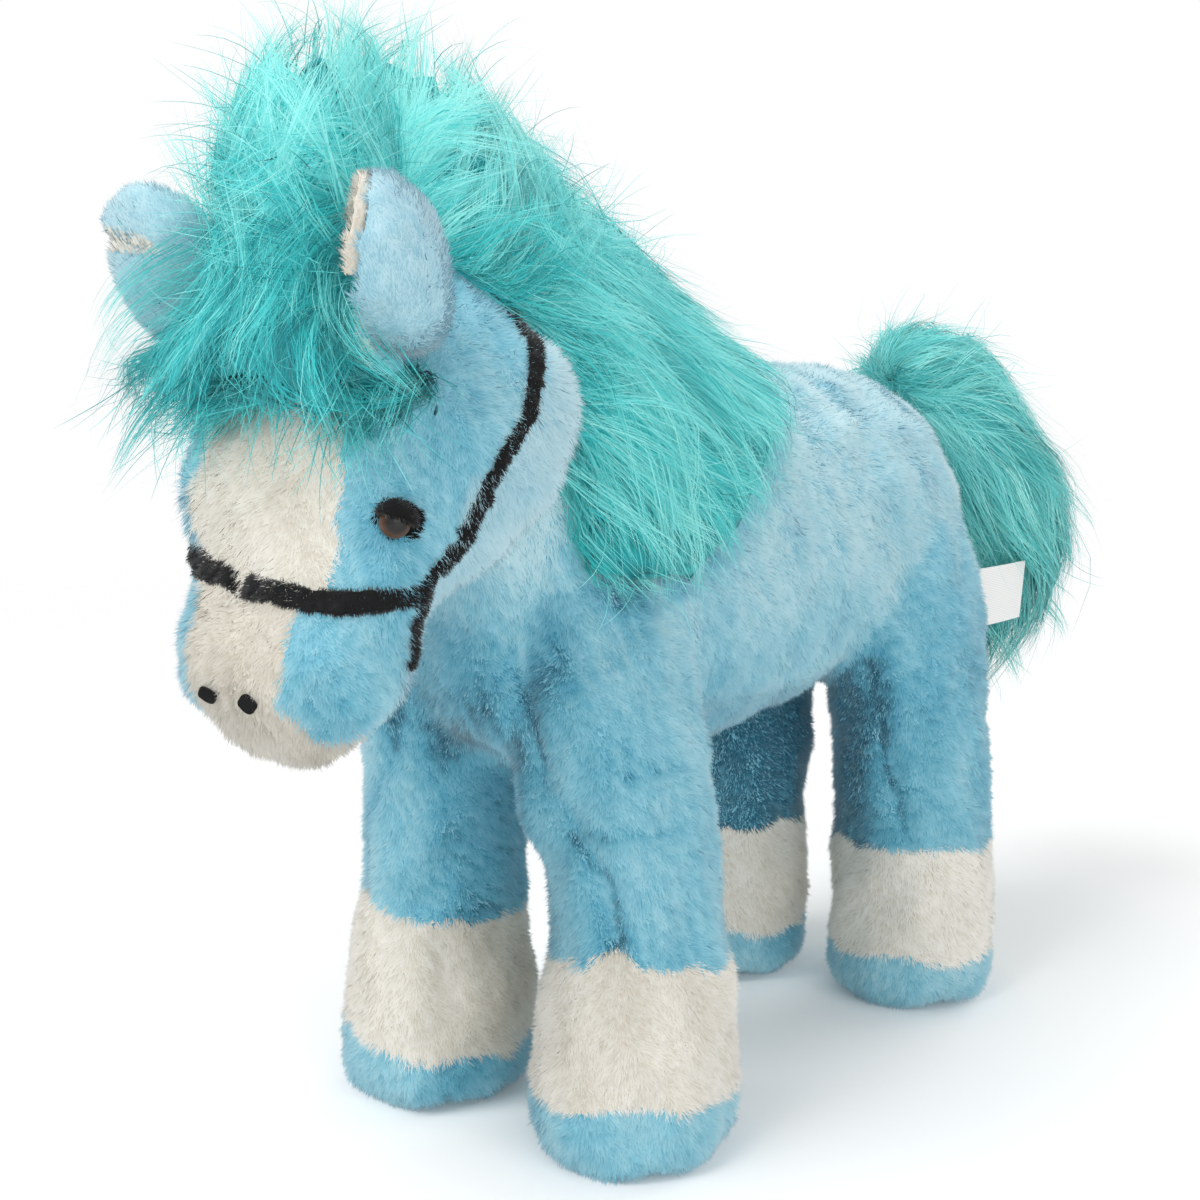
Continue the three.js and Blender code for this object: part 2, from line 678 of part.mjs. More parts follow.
// The bridle's ribbons lie on the plush: a band over the nose, and a strap up each cheek over the crown
const ribbonLayer = headOutline(seamGap + ribbonWall).subtract(headCleared).subtract(domeRooms);
const strapBand = frontOfSeam(bridle.strapWidth / 2).subtract(frontOfSeam(-bridle.strapWidth / 2));
const headstall = ribbonLayer.intersect(strapBand).intersect(layerBetween(strapFoot.y, cutReach));
const noseBandRegion = underBand(bridle.ribbonWidth / 2).subtract(underBand(-bridle.ribbonWidth / 2));
const noseband = ribbonLayer.intersect(noseBandRegion)
  .intersect(frontOfSeam(-bridle.strapWidth / 2 - seamGap));
addPiece('noseband', geometryOf(noseband), finishes.velvet);
addPiece('headstall', geometryOf(headstall), finishes.velvet);

// The ears, each a cupped plush ear with a lining in its cup, free to fold at its sewn base
const degree = Math.PI / 180;

/** Even steps of turn between two angles in degrees. */
function turnSteps(from, to, steps) {
  return Array.from({ length: steps + 1 }, (_, step) => (from + ((to - from) * step) / steps) * degree);
}

/** All that an outline passes through as it turns about a line along X. */
function sweptAboutX(geometry, pivot, angles) {
  return joined(angles.map((angle) => solidOf(turned(geometry, pivot, alongX, angle))));
}

const earSweeps = [];
const headMiddle = headBox.getCenter(new THREE.Vector3());
for (const pose of earPoses) {
  const [base, tip] = [pose.baseShares, pose.tipShares].map(([out, back, high]) => new THREE.Vector3(
    pose.side * head.halfWidth * out,
    head.noseY + head.depth * back,
    head.chinHeight + head.height * high,
  ));
  const up = tip.clone().sub(base).normalize();
  const flat = new THREE.Vector3(Math.cos(pose.turnInward), -pose.side * Math.sin(pose.turnInward), 0);
  const deep = up.clone().cross(flat).normalize();
  const wide = deep.clone().cross(up);
  const outline = (halfWidth, halfDepth, shift, rings = ear.rings, sides = ear.sides) => stuffedGeometry({
    places: earShares.map(([share, wideShare, deepShare]) => ({
      centre: base.clone().lerp(tip, share).add(shift),
      halfWidth: halfWidth * wideShare,
      halfDepth: halfDepth * deepShare,
    })),
    across: wide, deep, startDome: ear.baseDomeShare, endDome: ear.tipDomeShare, rings, sides,
  });
  const cupShift = deep.clone().multiplyScalar(-ear.cupForward).addScaledVector(up, ear.cupRise);
  const still = new THREE.Vector3();
  const earGeometry = outline(ear.halfWidth, ear.halfDepth, still);
  const earEnvelope = outline(ear.halfWidth, ear.halfDepth, still, ear.roomRings, ear.roomSides);
  const cup = outlineOf(outline(ear.cupHalfWidth, ear.cupHalfDepth, cupShift));
  const hinge = seatOnHead(headMiddle, base.clone().add(up).sub(headMiddle).normalize()).point;
  const folds = turnSteps(-ear.foldBack, ear.foldForward, ear.foldSteps);
  const headRoom = sweptAboutX(swollen(headGeometry, seamGap), hinge, folds.map((angle) => -angle));
  const earBody = solidOf(earGeometry).subtract(headRoom);
  const lining = cup(-seamGap).subtract(cup(-seamGap - ear.liningWall)).intersect(earBody);
  addPiece(`${pose.name}_ear`, geometryOf(earBody.subtract(cup(0))), finishes.paleBluePlush);
  addPiece(`${pose.name}_ear_lining`, geometryOf(lining), finishes.whitePlush);
  earSweeps.push(sweptAboutX(swollen(earEnvelope, ear.roomGap), hinge, folds));
  hinges[`${pose.name}_ear`] = hinge;
}
const earRoom = joined(earSweeps);

// The mane, the forelock and the tail, at the outer size of their pile
const maneGeometry = stuffedGeometry({
  places: placesAlongY(maneShares, mane.pollY, mane.length, mane.lowHeight, mane.height, mane.halfWidth),
  across: alongX, deep: alongZ, startDome: mane.pollDomeShare, endDome: mane.endDomeShare,
  rings: mane.rings, sides: mane.sides, pinch: mane.pinchShare, lowerFullness: mane.lowerFullness,
});
const strapCleared = headOutline(2 * seamGap + ribbonWall);
const skin = joined([bodyCleared, strapCleared, ...legsCleared]);
addPiece('mane', geometryOf(solidOf(maneGeometry).subtract(skin).subtract(earRoom)), finishes.longPile);

/** One half of the forelock's pile. */
function forelockPile(shares, halfWidth) {
  const { backY, length, lowHeight, height, backDomeShare, frontDomeShare, rings, sides } = forelock;
  return solidOf(stuffedGeometry({
    places: placesAlongY(shares, backY, -length, lowHeight, height, halfWidth),
    across: alongX, deep: alongZ, startDome: backDomeShare, endDome: frontDomeShare, rings, sides,
  }));
}
const maneRoom = solidOf(swollen(maneGeometry, seamGap));
const forelockSolid = forelockPile(tuftShares, forelock.tuftHalfWidth)
  .add(forelockPile(fringeShares, forelock.fringeHalfWidth))
  .subtract(strapCleared).subtract(earRoom).subtract(maneRoom).subtract(domeRooms);
addPiece('forelock', geometryOf(forelockSolid), finishes.longPile);

const tailGeometry = stuffedGeometry({
  places: tailShares.map(([up, back, wide, thick]) => ({
    centre: new THREE.Vector3(
      tail.lean,
      tail.rootY + tail.halfDepth * back,
      tail.bottomHeight + tail.height * up,
    ),
    halfWidth: tail.halfWidth * wide,
    halfDepth: tail.halfDepth * thick,
  })),
  across: alongX, deep: alongY, startDome: tail.tipDomeShare, endDome: tail.topDomeShare,
  rings: tail.rings, sides: tail.sides,
});

// The sewn label: a satin tab in the seam behind the left thigh, free to flap about the seam
/** Where a ray comes out last from the body and the left hind leg. */
function seatOnRump(origin, direction) {
  const leftHind = stances.find((stance) => stance.name === 'left_hind');
  const hits = [torsoGeometry, legGeometry(leftHind)].flatMap((geometry) => {
    const skin = new THREE.Mesh(geometry, new THREE.MeshBasicMaterial({ side: THREE.DoubleSide }));
    return new THREE.Raycaster(origin, direction).intersectObject(skin);
  });
  return hits.reduce((last, hit) => (hit.distance > last.distance ? hit : last)).point;
}
const labelSeam = label.seatShares
  .map((share) => new THREE.Vector3(label.across, 0, label.lowHeight + label.height * share))
  .map((start) => seatOnRump(start, alongY))
  .reduce((last, seat) => (seat.y > last.y ? seat : last))
  .setZ(label.lowHeight + label.height / 2);
hinges.label = labelSeam;
const labelGeometry = new THREE.BoxGeometry(labelWall, label.length, label.height)
  .translate(0, label.length / 2 + label.standOff, 0)
  .applyMatrix4(new THREE.Matrix4().makeRotationZ(-label.turnOutward))
  .translate(labelSeam.x, labelSeam.y, labelSeam.z);
addPiece('label', welded(labelGeometry), finishes.satinLabel);

/** The fan that the label passes through as it flaps from side to side, with a clearance all round. */
function labelFan(clearance) {
  const reach = label.standOff + label.length + clearance;
  const wall = labelWall / 2 + clearance;
  const flaps = turnSteps(-label.flapAngle, label.flapAngle, label.fanSteps);
  const far = flaps.map((flap) => new THREE.Vector2(0, reach).rotateAround(new THREE.Vector2(), flap));
  const sideways = new THREE.Vector2(wall, 0);
  const right = sideways.clone().rotateAround(new THREE.Vector2(), flaps[0]);
  const left = sideways.clone().negate().rotateAround(new THREE.Vector2(), flaps[flaps.length - 1]);
  const outline = [
    right,
    far[0].clone().add(right),
    ...far,
    far[far.length - 1].clone().add(left),
    left,
  ];
  const depth = label.height + 2 * clearance;
  const fan = new THREE.ExtrudeGeometry(new THREE.Shape(outline), { depth, bevelEnabled: false });
  fan.translate(0, 0, -depth / 2).applyMatrix4(new THREE.Matrix4().makeRotationZ(-label.turnOutward));
  return fan.translate(labelSeam.x, labelSeam.y, labelSeam.z);
}

const tailRoot = new THREE.Vector3(0, tail.rootY, tail.rootHeight);
hinges.tail = tailRoot;
const lifts = turnSteps(0, -tail.liftAngle, tail.liftSteps);
const rumpRoom = sweptAboutX(swollen(torsoGeometry, seamGap), tailRoot, lifts);
const labelRoom = sweptAboutX(labelFan(tail.clearance), tailRoot, lifts);
const tailPile = solidOf(tailGeometry).subtract(rumpRoom).subtract(labelRoom);
addPiece('tail', geometryOf(tailPile), finishes.longPile);

// The pony stands on z = 0 with the middle of its outer box on the z axis
const pony = new THREE.Group();
pony.add(...pieces);
const outerBox = new THREE.Box3().setFromObject(pony);
const outerMiddle = outerBox.getCenter(new THREE.Vector3());
pony.position.set(-outerMiddle.x, -outerMiddle.y, -outerBox.min.z);

/** Where each moving piece turns, in the finished pony's frame. */
export const hingePoints = Object.fromEntries(
  Object.entries(hinges).map(([name, point]) => [name, point.clone().add(pony.position)]),
);

export default pony;
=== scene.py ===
"""A stuffed horse dressed over its solids: sewn plush with its pile, long hair, a ribbon bridle and bead eyes."""

import json
import logging
import math
from dataclasses import dataclass, replace
from enum import Enum
from typing import Callable, Optional, Sequence

import bpy
import numpy as np
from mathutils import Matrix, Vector
from mathutils.bvhtree import BVHTree
from mathutils.kdtree import KDTree

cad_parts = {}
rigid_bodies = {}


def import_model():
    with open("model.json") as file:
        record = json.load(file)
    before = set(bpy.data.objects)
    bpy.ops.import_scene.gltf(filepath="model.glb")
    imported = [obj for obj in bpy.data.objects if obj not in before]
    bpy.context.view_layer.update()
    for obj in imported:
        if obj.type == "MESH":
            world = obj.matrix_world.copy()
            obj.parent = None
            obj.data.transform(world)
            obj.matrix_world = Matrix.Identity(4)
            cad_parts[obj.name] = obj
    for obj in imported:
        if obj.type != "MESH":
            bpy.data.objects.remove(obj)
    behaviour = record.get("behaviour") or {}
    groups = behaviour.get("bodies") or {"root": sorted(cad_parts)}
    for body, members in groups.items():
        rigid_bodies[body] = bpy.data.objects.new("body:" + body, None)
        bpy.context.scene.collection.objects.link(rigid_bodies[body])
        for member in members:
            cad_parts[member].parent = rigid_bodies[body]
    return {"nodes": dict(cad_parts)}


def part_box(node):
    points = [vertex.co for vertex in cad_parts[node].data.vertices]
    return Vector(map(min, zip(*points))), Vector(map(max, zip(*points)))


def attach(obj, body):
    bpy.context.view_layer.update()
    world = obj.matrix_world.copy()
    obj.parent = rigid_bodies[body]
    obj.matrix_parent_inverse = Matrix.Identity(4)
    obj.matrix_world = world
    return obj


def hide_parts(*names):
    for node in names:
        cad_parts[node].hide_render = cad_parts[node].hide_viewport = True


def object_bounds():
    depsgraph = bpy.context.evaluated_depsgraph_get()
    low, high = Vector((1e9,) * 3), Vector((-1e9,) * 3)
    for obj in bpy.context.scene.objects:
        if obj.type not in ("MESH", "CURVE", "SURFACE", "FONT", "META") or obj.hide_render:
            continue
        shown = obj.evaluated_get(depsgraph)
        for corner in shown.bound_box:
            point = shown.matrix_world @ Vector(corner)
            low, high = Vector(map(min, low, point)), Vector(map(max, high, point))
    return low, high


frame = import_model()
cad_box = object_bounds()

log = logging.getLogger("horse")

MM = 0.001
PATTERN_MAP = "OFBake"
DOWN = np.array([0.0, 0.0, -1.0])


# Small helpers


def linear(code: str) -> tuple[float, float, float, float]:
    """Turns an sRGB hex value to a linear colour.

    Args:
        code: The colour as it looks, such as "#8cc3df".

    Returns:
        Red, green, blue and full alpha, linear.
    """
    parts = [int(code[k : k + 2], 16) / 255 for k in (1, 3, 5)]
    red, green, blue = (c / 12.92 if c <= 0.04045 else ((c + 0.055) / 1.055) ** 2.4 for c in parts)
    return red, green, blue, 1.0


def unit(vectors: np.ndarray) -> np.ndarray:
    """Gives rows of vectors the length of one."""
    return vectors / np.maximum(np.linalg.norm(vectors, axis=-1, keepdims=True), 1e-12)


def share(values: np.ndarray) -> np.ndarray:
    """Cuts values off below 0 and above 1."""
    return np.clip(values, 0, 1)


def bell(values: np.ndarray) -> np.ndarray:
    """A soft hill of height 1 that falls to both sides of 0."""
    return np.exp(-(values**2))


def level(vectors: np.ndarray, normals: np.ndarray) -> np.ndarray:
    """Takes from each vector what points along its normal."""
    return vectors - normals * (vectors * normals).sum(1, keepdims=True)


def turned_out(side: np.ndarray, way: np.ndarray, out: np.ndarray) -> tuple[np.ndarray, np.ndarray]:
    """Turns fibres so that their flat sides face out: the directions across them, and those that they face."""
    blade = np.cross(side, way)
    sign = np.where((blade * out).sum(1) < 0, -1, 1)[:, None]
    return side * sign, blade * sign


def deselect_all() -> None:
    """Leaves nothing selected, so that the next operator acts on one piece only."""
    bpy.ops.object.select_all(action="DESELECT")


def choose(piece: bpy.types.Object) -> None:
    """Selects one piece and makes it the active one."""
    deselect_all()
    piece.hide_set(False)
    piece.select_set(True)
    bpy.context.view_layer.objects.active = piece


def modify(piece: bpy.types.Object, kind: str, **settings: object) -> None:
    """Adds a modifier to a piece and applies it.

    Args:
        piece: The piece that it changes.
        kind: The modifier's type.
        **settings: The modifier's settings.
    """
    choose(piece)
    modifier = piece.modifiers.new(kind.title(), kind)
    for name, value in settings.items():
        setattr(modifier, name, value)
    bpy.ops.object.modifier_apply(modifier=modifier.name)


def edit(piece: bpy.types.Object, *steps: Callable[[], object]) -> None:
    """Runs edit mode operators on all of a piece.

    Args:
        piece: The piece that is edited.
        *steps: Calls that run one operator each.
    """
    choose(piece)
    bpy.ops.object.mode_set(mode="EDIT")
    bpy.ops.mesh.select_all(action="SELECT")
    for step in steps:
        step()
    bpy.ops.object.mode_set(mode="OBJECT")


def remeshed(piece: bpy.types.Object, voxel_mm: float, factor: float = 0.0, rounds: int = 0) -> bpy.types.Object:
    """Makes a piece one even mesh and smooths it.

    Args:
        piece: The piece.
        voxel_mm: The size of the mesh's cells.
        factor: How strong each round of smoothing is.
        rounds: How many rounds there are.

    Returns:
        The same piece.
    """
    modify(piece, "REMESH", mode="VOXEL", voxel_size=voxel_mm * MM)
    if rounds:
        modify(piece, "SMOOTH", factor=factor, iterations=rounds)
    return piece


def primitive(add: Callable[..., object], **settings: object) -> bpy.types.Object:
    """Adds a primitive by its operator and applies its place, turn and size."""
    deselect_all()
    add(**settings)
    bpy.ops.object.transform_apply(location=True, rotation=True, scale=True)
    return bpy.context.active_object


def copy_of_node(node: str) -> bpy.types.Object:
    """Copies a solid as a closed mesh of its own, with its corners merged."""
    source = frame["nodes"][node]
    piece = bpy.data.objects.new(f"{node}_copy", source.data.copy())
    bpy.context.scene.collection.objects.link(piece)
    piece.data.materials.clear()
    edit(piece, lambda: bpy.ops.mesh.remove_doubles(threshold=0.01 * MM))
    return piece


def joined(pieces: Sequence[bpy.types.Object], name: str) -> bpy.types.Object:
    """Joins pieces in one object under a new name."""
    choose(pieces[0])
    for piece in pieces:
        piece.select_set(True)
    if len(pieces) > 1:
        bpy.ops.object.join()
    pieces[0].name = name
    pieces[0].data.name = name
    return pieces[0]


def rows_of(items: bpy.types.bpy_prop_collection, name: str, kind: type) -> np.ndarray:
    """One value of each of a mesh's items as rows of three."""
    found = np.empty(len(items) * 3, kind)
    items.foreach_get(name, found)
    return found.reshape(-1, 3)


def points_of(mesh: bpy.types.Mesh) -> np.ndarray:
    """A mesh's points as rows of x, y and z."""
    return rows_of(mesh.vertices, "co", np.float32).astype(float)


def normals_of(mesh: bpy.types.Mesh) -> np.ndarray:
    """A mesh's smooth directions, one a point."""
    return rows_of(mesh.vertex_normals, "vector", np.float32).astype(float)


def triangles_of(mesh: bpy.types.Mesh) -> np.ndarray:
    """A mesh's triangles as rows of three point numbers."""
    mesh.calc_loop_triangles()
    return rows_of(mesh.loop_triangles, "vertices", np.int32)


def parts_of(piece: bpy.types.Object) -> tuple[np.ndarray, np.ndarray, np.ndarray]:
    """A piece's points, their directions and its triangles."""
    return points_of(piece.data), normals_of(piece.data), triangles_of(piece.data)


def set_points(mesh: bpy.types.Mesh, points: np.ndarray) -> None:
    """Moves a mesh's points."""
    mesh.vertices.foreach_set("co", points.astype(np.float32).ravel())
    mesh.update()


def tree_of(piece: bpy.types.Object) -> BVHTree:
    """A search tree of a piece's faces."""
    mesh = piece.data
    return BVHTree.FromPolygons(points_of(mesh).tolist(), triangles_of(mesh).tolist())


@dataclass
class Hull:
    """A closed form that says how far from it places lie."""

    tree: BVHTree
    points: np.ndarray
    normals: np.ndarray
    triangles: np.ndarray

    @classmethod
    def of(cls, piece: bpy.types.Object) -> "Hull":
        """Takes a piece's mesh as the form."""
        return cls(tree_of(piece), *parts_of(piece))

    def nearest(self, places: np.ndarray) -> tuple[np.ndarray, np.ndarray]:
        """The nearest point of the form to each place, and its smooth direction there."""
        found = [self.tree.find_nearest(place) for place in places.tolist()]
        at = np.array([f[0] for f in found])
        corner = self.triangles[[f[2] for f in found]]
        apart = np.linalg.norm(self.points[corner] - at[:, None], axis=2)
        weight = 1 / np.maximum(apart, 1e-6) ** 2
        way = (self.normals[corner] * weight[:, :, None]).sum(1)
        return at, unit(way)

    def outside(self, places: np.ndarray, far: float = 0.03) -> np.ndarray:
        """How far outside the form each place lies, in metres.

        Args:
            places: Rows of places.
            far: What places well outside its box get.

        Returns:
            The distances, less than zero inside.
        """
        result = np.full(len(places), far)
        low, high = self.points.min(0), self.points.max(0)
        close = ((places > low - far) & (places < high + far)).all(1)
        if close.any():
            at, way = self.nearest(places[close])
            gap = places[close] - at
            side = np.sign((gap * way).sum(1))
            result[close] = np.linalg.norm(gap, axis=1) * side
        return result

    def thickness(self) -> np.ndarray:
        """How thick the form is under each of its points, in millimetres."""
        thick = np.full(len(self.points), 1.0)
        starts = self.points - self.normals * 0.5 * MM
        for number, (place, way) in enumerate(zip(starts.tolist(), (-self.normals).tolist())):
            through = self.tree.ray_cast(place, way)[3]
            if through is not None:
                thick[number] = through / MM
        return thick

    def kept_in(self, places: np.ndarray, room_mm: float) -> np.ndarray:
        """Moves places that lie less than a room inside the form to that depth."""
        at, way = self.nearest(places)
        shallow = ((at - places) * way).sum(1) < room_mm * MM
        moved = places.copy()
        moved[shallow] = (at - way * room_mm * MM)[shallow]
        return moved


@dataclass
class Openness:
    """How much of the light round a form reaches its places: 1 on open ground, near 0 deep in a fold."""

    tree: KDTree
    values: np.ndarray

    @classmethod
    def of(cls, hull: Hull, blockers: Sequence[BVHTree], rays: int = 32, reach_mm: float = 110) -> "Openness":
        """Looks out from places all over a form.

        Args:
            hull: The form.
            blockers: What stands in the light.
            rays: How many ways each place looks.
            reach_mm: How far it looks.

        Returns:
            The light at the form's places.
        """
        ways = unit(np.random.default_rng(9).normal(size=(rays, 3)))
        points, normals = hull.points[::3], hull.normals[::3]
        values = np.empty(len(points))
        tree = KDTree(len(points))
        for number, (place, out) in enumerate(zip(points, normals)):
            tree.insert(place.tolist(), number)
            start = (place + out * 1.5 * MM).tolist()
            free = 0
            for way in unit(out + 0.97 * ways).tolist():
                free += all(block.ray_cast(start, way, reach_mm * MM)[0] is None for block in blockers)
            values[number] = free / rays
        tree.balance()
        return cls(tree, values)

    def __call__(self, places: np.ndarray) -> np.ndarray:
        """The light at each place, as the middle of its nearest nine."""
        near = (self.tree.find_n(place, 9) for place in places.tolist())
        return np.array([np.mean([self.values[number] for _, number, _ in found]) for found in near])


@dataclass(frozen=True)
class Waves:
    """Soft random hills: plane waves of one length that run in all directions, about 1 high."""

    length_mm: float
    seed: int
    count: int = 14

    def slopes(self, points: np.ndarray) -> tuple[np.ndarray, np.ndarray]:
        """Height and slope of the hills.

        Args:
            points: Rows of places in metres.

        Returns:
            The height at each place, and the slope there as rows of x, y and z per wave length.
        """
        rng = np.random.default_rng(self.seed)
        way = unit(rng.normal(size=(self.count, 3)))
        stretch = rng.uniform(0.75, 1.35, self.count)
        phase = rng.uniform(0, 2 * math.pi, self.count)
        turn = 2 * math.pi / (self.length_mm * MM)
        angle = points @ (way * (turn * stretch)[:, None]).T + phase
        size = math.sqrt(2 / self.count)
        return size * np.cos(angle).sum(1), -size * np.sin(angle) @ way

    def __call__(self, points: np.ndarray) -> np.ndarray:
        """The height of the hills at rows of places."""
        return self.slopes(points)[0]


# Materials


def add_node(
    tree: bpy.types.NodeTree,
    kind: str,
    settings: Optional[dict[str, object]] = None,
    values: Optional[dict[object, object]] = None,
    links: Optional[dict[object, bpy.types.NodeSocket]] = None,
) -> bpy.types.Node:
    """Adds one shader node.

    Args:
        tree: The material's node tree.
        kind: The node's type name without its ShaderNode prefix.
        settings: Its own settings by name.
        values: Values of its input sockets, by name or number.
        links: The output sockets that feed its inputs, by name or number.

    Returns:
        The node.
    """
    node = tree.nodes.new(f"ShaderNode{kind}")
    for name, value in (settings or {}).items():
        setattr(node, name, value)
    for name, value in (values or {}).items():
        node.inputs[name].default_value = value
    for name, socket in (links or {}).items():
        tree.links.new(socket, node.inputs[name])
    return node


def set_ramp(node: bpy.types.Node, stops: Sequence[tuple[float, str]]) -> None:
    """Sets a colour ramp's stops.

    Args:
        node: The colour ramp node.
        stops: Place and colour of each stop, in order.
    """
    elements = node.color_ramp.elements
    while len(elements) < len(stops):
        elements.new(0.5)
    for element, (place, code) in zip(elements, stops):
        element.position = place
        element.color = linear(code)


def new_material(name: str, sockets: dict[str, object]) -> tuple[bpy.types.Material, bpy.types.Node]:
    """Makes a material with one surface shader.

    Args:
        name: The material's name.
        sockets: Values of the shader's own sockets.

    Returns:
        The material and its surface shader node.
    """
    material = bpy.data.materials.new(name)
    material.use_nodes = True
    material.node_tree.nodes.clear()
    surface = add_node(material.node_tree, "BsdfPrincipled", values=sockets)
    output = add_node(material.node_tree, "OutputMaterial")
    material.node_tree.links.new(surface.outputs[0], output.inputs["Surface"])
    return material, surface


@dataclass(frozen=True)
class GrainFinish:
    """A material with one fine grain: a texture that tints it and, where it has a depth, roughens it."""

    name: str
    sockets: dict[str, float]
    kind: str
    grain: dict[str, float]
    stops: tuple[tuple[float, str], ...]
    settings: Optional[dict[str, str]] = None
    bump: float = 0.0
    depth_mm: float = 0.0

    def make(self) -> bpy.types.Material:
        """Builds the material, its grain laid by the piece's own coordinates."""
        material, surface = new_material(self.name, self.sockets)
        tree = material.node_tree
        place = add_node(tree, "TexCoord")
        grain = add_node(tree, self.kind, self.settings, self.grain, {"Vector": place.outputs["Object"]})
        tint = add_node(tree, "ValToRGB", links={0: grain.outputs[0]})
        set_ramp(tint, self.stops)
        tree.links.new(tint.outputs[0], surface.inputs["Base Color"])
        if self.bump:
            values = {"Strength": self.bump, "Distance": self.depth_mm * MM}
            rough = add_node(tree, "Bump", values=values, links={"Height": grain.outputs[0]})
            tree.links.new(rough.outputs[0], surface.inputs["Normal"])
        return material


@dataclass(frozen=True)
class PileFinish:
    """Polyester pile: each fibre is dyed right through; its root is painted darker, as the shade between fibres, and
    its tip paler, as painted light where it lets light in.

    The pattern map's V runs from root to tip, and its U from painted shade in folds and hollows, through the usual
    tone, to the palest colour, where painted light and paler tone are most.
    """

    name: str
    slot: str
    # deep and hollow are painted shade in folds and hollows; the palest colour, after middle, is where painted light
    # and paler tone are most.
    deep: str
    hollow: str
    middle: str
    light_and_tone: str
    root_shade: str
    tip_tint: str
    tip_share: float = 0.25
    roughness: float = 0.8
    sheen: float = 0.35

    def make(self) -> bpy.types.Material:
        """Builds the pile's material."""
        material, surface = new_material(
            self.name,
            {
                "Roughness": self.roughness,
                "Sheen Weight": self.sheen,
                "Sheen Roughness": 0.5,
                "Specular IOR Level": 0.2,
            },
        )
        tree = material.node_tree
        pattern = add_node(tree, "UVMap", {"uv_map": PATTERN_MAP})
        parts = add_node(tree, "SeparateXYZ", links={0: pattern.outputs[0]})
        dye = add_node(tree, "ValToRGB", links={0: parts.outputs["X"]})
        set_ramp(dye, [(0.0, self.deep), (0.24, self.hollow), (0.5, self.middle), (1.0, self.light_and_tone)])
        # Painted shade towards each fibre's root.
        depth = add_node(tree, "ValToRGB", links={0: parts.outputs["Y"]})
        set_ramp(depth, [(0.0, self.root_shade), (0.55, "#ffffff")])
        shaded = add_node(
            tree,
            "Mix",
            {"data_type": "RGBA", "blend_type": "MULTIPLY"},
            {0: 1.0},
            {6: dye.outputs[0], 7: depth.outputs[0]},
        )
        # Painted light towards each fibre's tip.
        tipped = add_node(
            tree,
            "MapRange",
            values={1: 0.45, 2: 1.0, 3: 0.0, 4: self.tip_share},
            links={0: parts.outputs["Y"]},
        )
        mixed = add_node(
            tree,
            "Mix",
            {"data_type": "RGBA"},
            {7: linear(self.tip_tint)},
            {0: tipped.outputs[0], 6: shaded.outputs[2]},
        )
        tree.links.new(mixed.outputs[2], surface.inputs["Base Color"])
        return material


class Pile(Enum):
    """The horse's piles."""

    # Colours in order: deep and hollow, painted shade of folds and hollows; middle, the usual tone; the palest, where
    # painted light and paler tone are most; the root's painted shade; the tip's painted light.
    SKY = PileFinish(
        "sky_blue_short_pile", "blue_plush", "#15596f", "#55a5be", "#86c3d4", "#bcdee5", "#c6d6dc", "#c6dfe5"
    )
    PALE = PileFinish(
        "pale_blue_short_pile", "pale_blue_plush", "#4c879c", "#82b8ca", "#a0cad7", "#c0dde4", "#cad9df", "#c9e0e6"
    )
    CREAM = PileFinish(
        "cream_short_pile", "white_plush", "#918c81", "#c5c0b4", "#dad6cc", "#eeebe3", "#e2ddd2", "#eae6de"
    )
    HAIR = PileFinish(
        "turquoise_long_pile", "long_pile", "#11767d", "#1da3a8", "#38c6c7", "#8fe4e0", "#8cbfc1", "#c4ebe6",
        0.4, 0.6, 0.1,
    )
    TAIL_HAIR = PileFinish(
        "turquoise_long_pile_faded", "long_pile", "#1c767b", "#3ca8aa", "#62c9c7", "#a4e5e0", "#94bfc0", "#c8e9e4",
        0.4, 0.6, 0.1,
    )
    VELVET = PileFinish(
        "black_velvet_ribbon", "black_ribbon", "#050506", "#0d0e10", "#141517", "#1e2023", "#808080", "#26282b",
        0.3, 0.85, 0.25,
    )
    FELT = PileFinish(
        "black_felt", "black_felt", "#050506", "#0b0b0c", "#121214", "#191a1c", "#909090", "#1e1f22",
        0.3, 0.9, 0.15,
    )


class Grain(Enum):
    """The horse's smooth and sewn finishes."""

    # Matted crimped fibre: white and quite dull; the hollows between its lumps are painted soft grey, as shade.
    FIBREFILL = GrainFinish(
        "polyester_fibrefill", {"Roughness": 0.9, "Sheen Weight": 0.2}, "TexNoise", {"Scale": 180.0, "Detail": 5.0},
        ((0.3, "#cfccc6"), (0.6, "#f0eeea")), bump=0.6, depth_mm=0.8,
    )
    # Twisted viscose embroidery thread: black with a soft gloss and fine turns of its ply.
    THREAD = GrainFinish(
        "black_embroidery_thread", {"Roughness": 0.75, "Specular IOR Level": 0.25}, "TexWave",
        {"Scale": 900.0, "Distortion": 1.5}, ((0.2, "#060607"), (0.8, "#111214")),
        {"bands_direction": "DIAGONAL"}, 0.5, 0.1,
    )
    # Moulded polypropylene: milky, with a faint flow grain.
    PLASTIC = GrainFinish(
        "moulded_polypropylene", {"Roughness": 0.45}, "TexNoise", {"Scale": 400.0}, ((0.3, "#d9dad8"), (0.7, "#ecedeb"))
    )
    # Woven polyester satin: white, glossy along its floats, with fine ribs across.
    SATIN = GrainFinish(
        "white_satin_ribbon", {"Roughness": 0.38, "Sheen Weight": 0.3}, "TexWave", {"Scale": 500.0, "Distortion": 0.6},
        ((0.0, "#dcdcd9"), (1.0, "#efefed")), {"bands_direction": "Z"}, 0.35, 0.08,
    )


_made: dict[str, bpy.types.Material] = {}


def material_of(finish: Enum) -> bpy.types.Material:
    """A finish's material, made once."""
    name = finish.value.name
    if name not in _made:
        _made[name] = finish.value.make()
    return _made[name]


# Fibres


@dataclass
class Fibres:
    """Fibres as loose triangles: points, faces, pattern places and directions."""

    points: np.ndarray
    faces: np.ndarray
    pattern: np.ndarray
    normals: np.ndarray


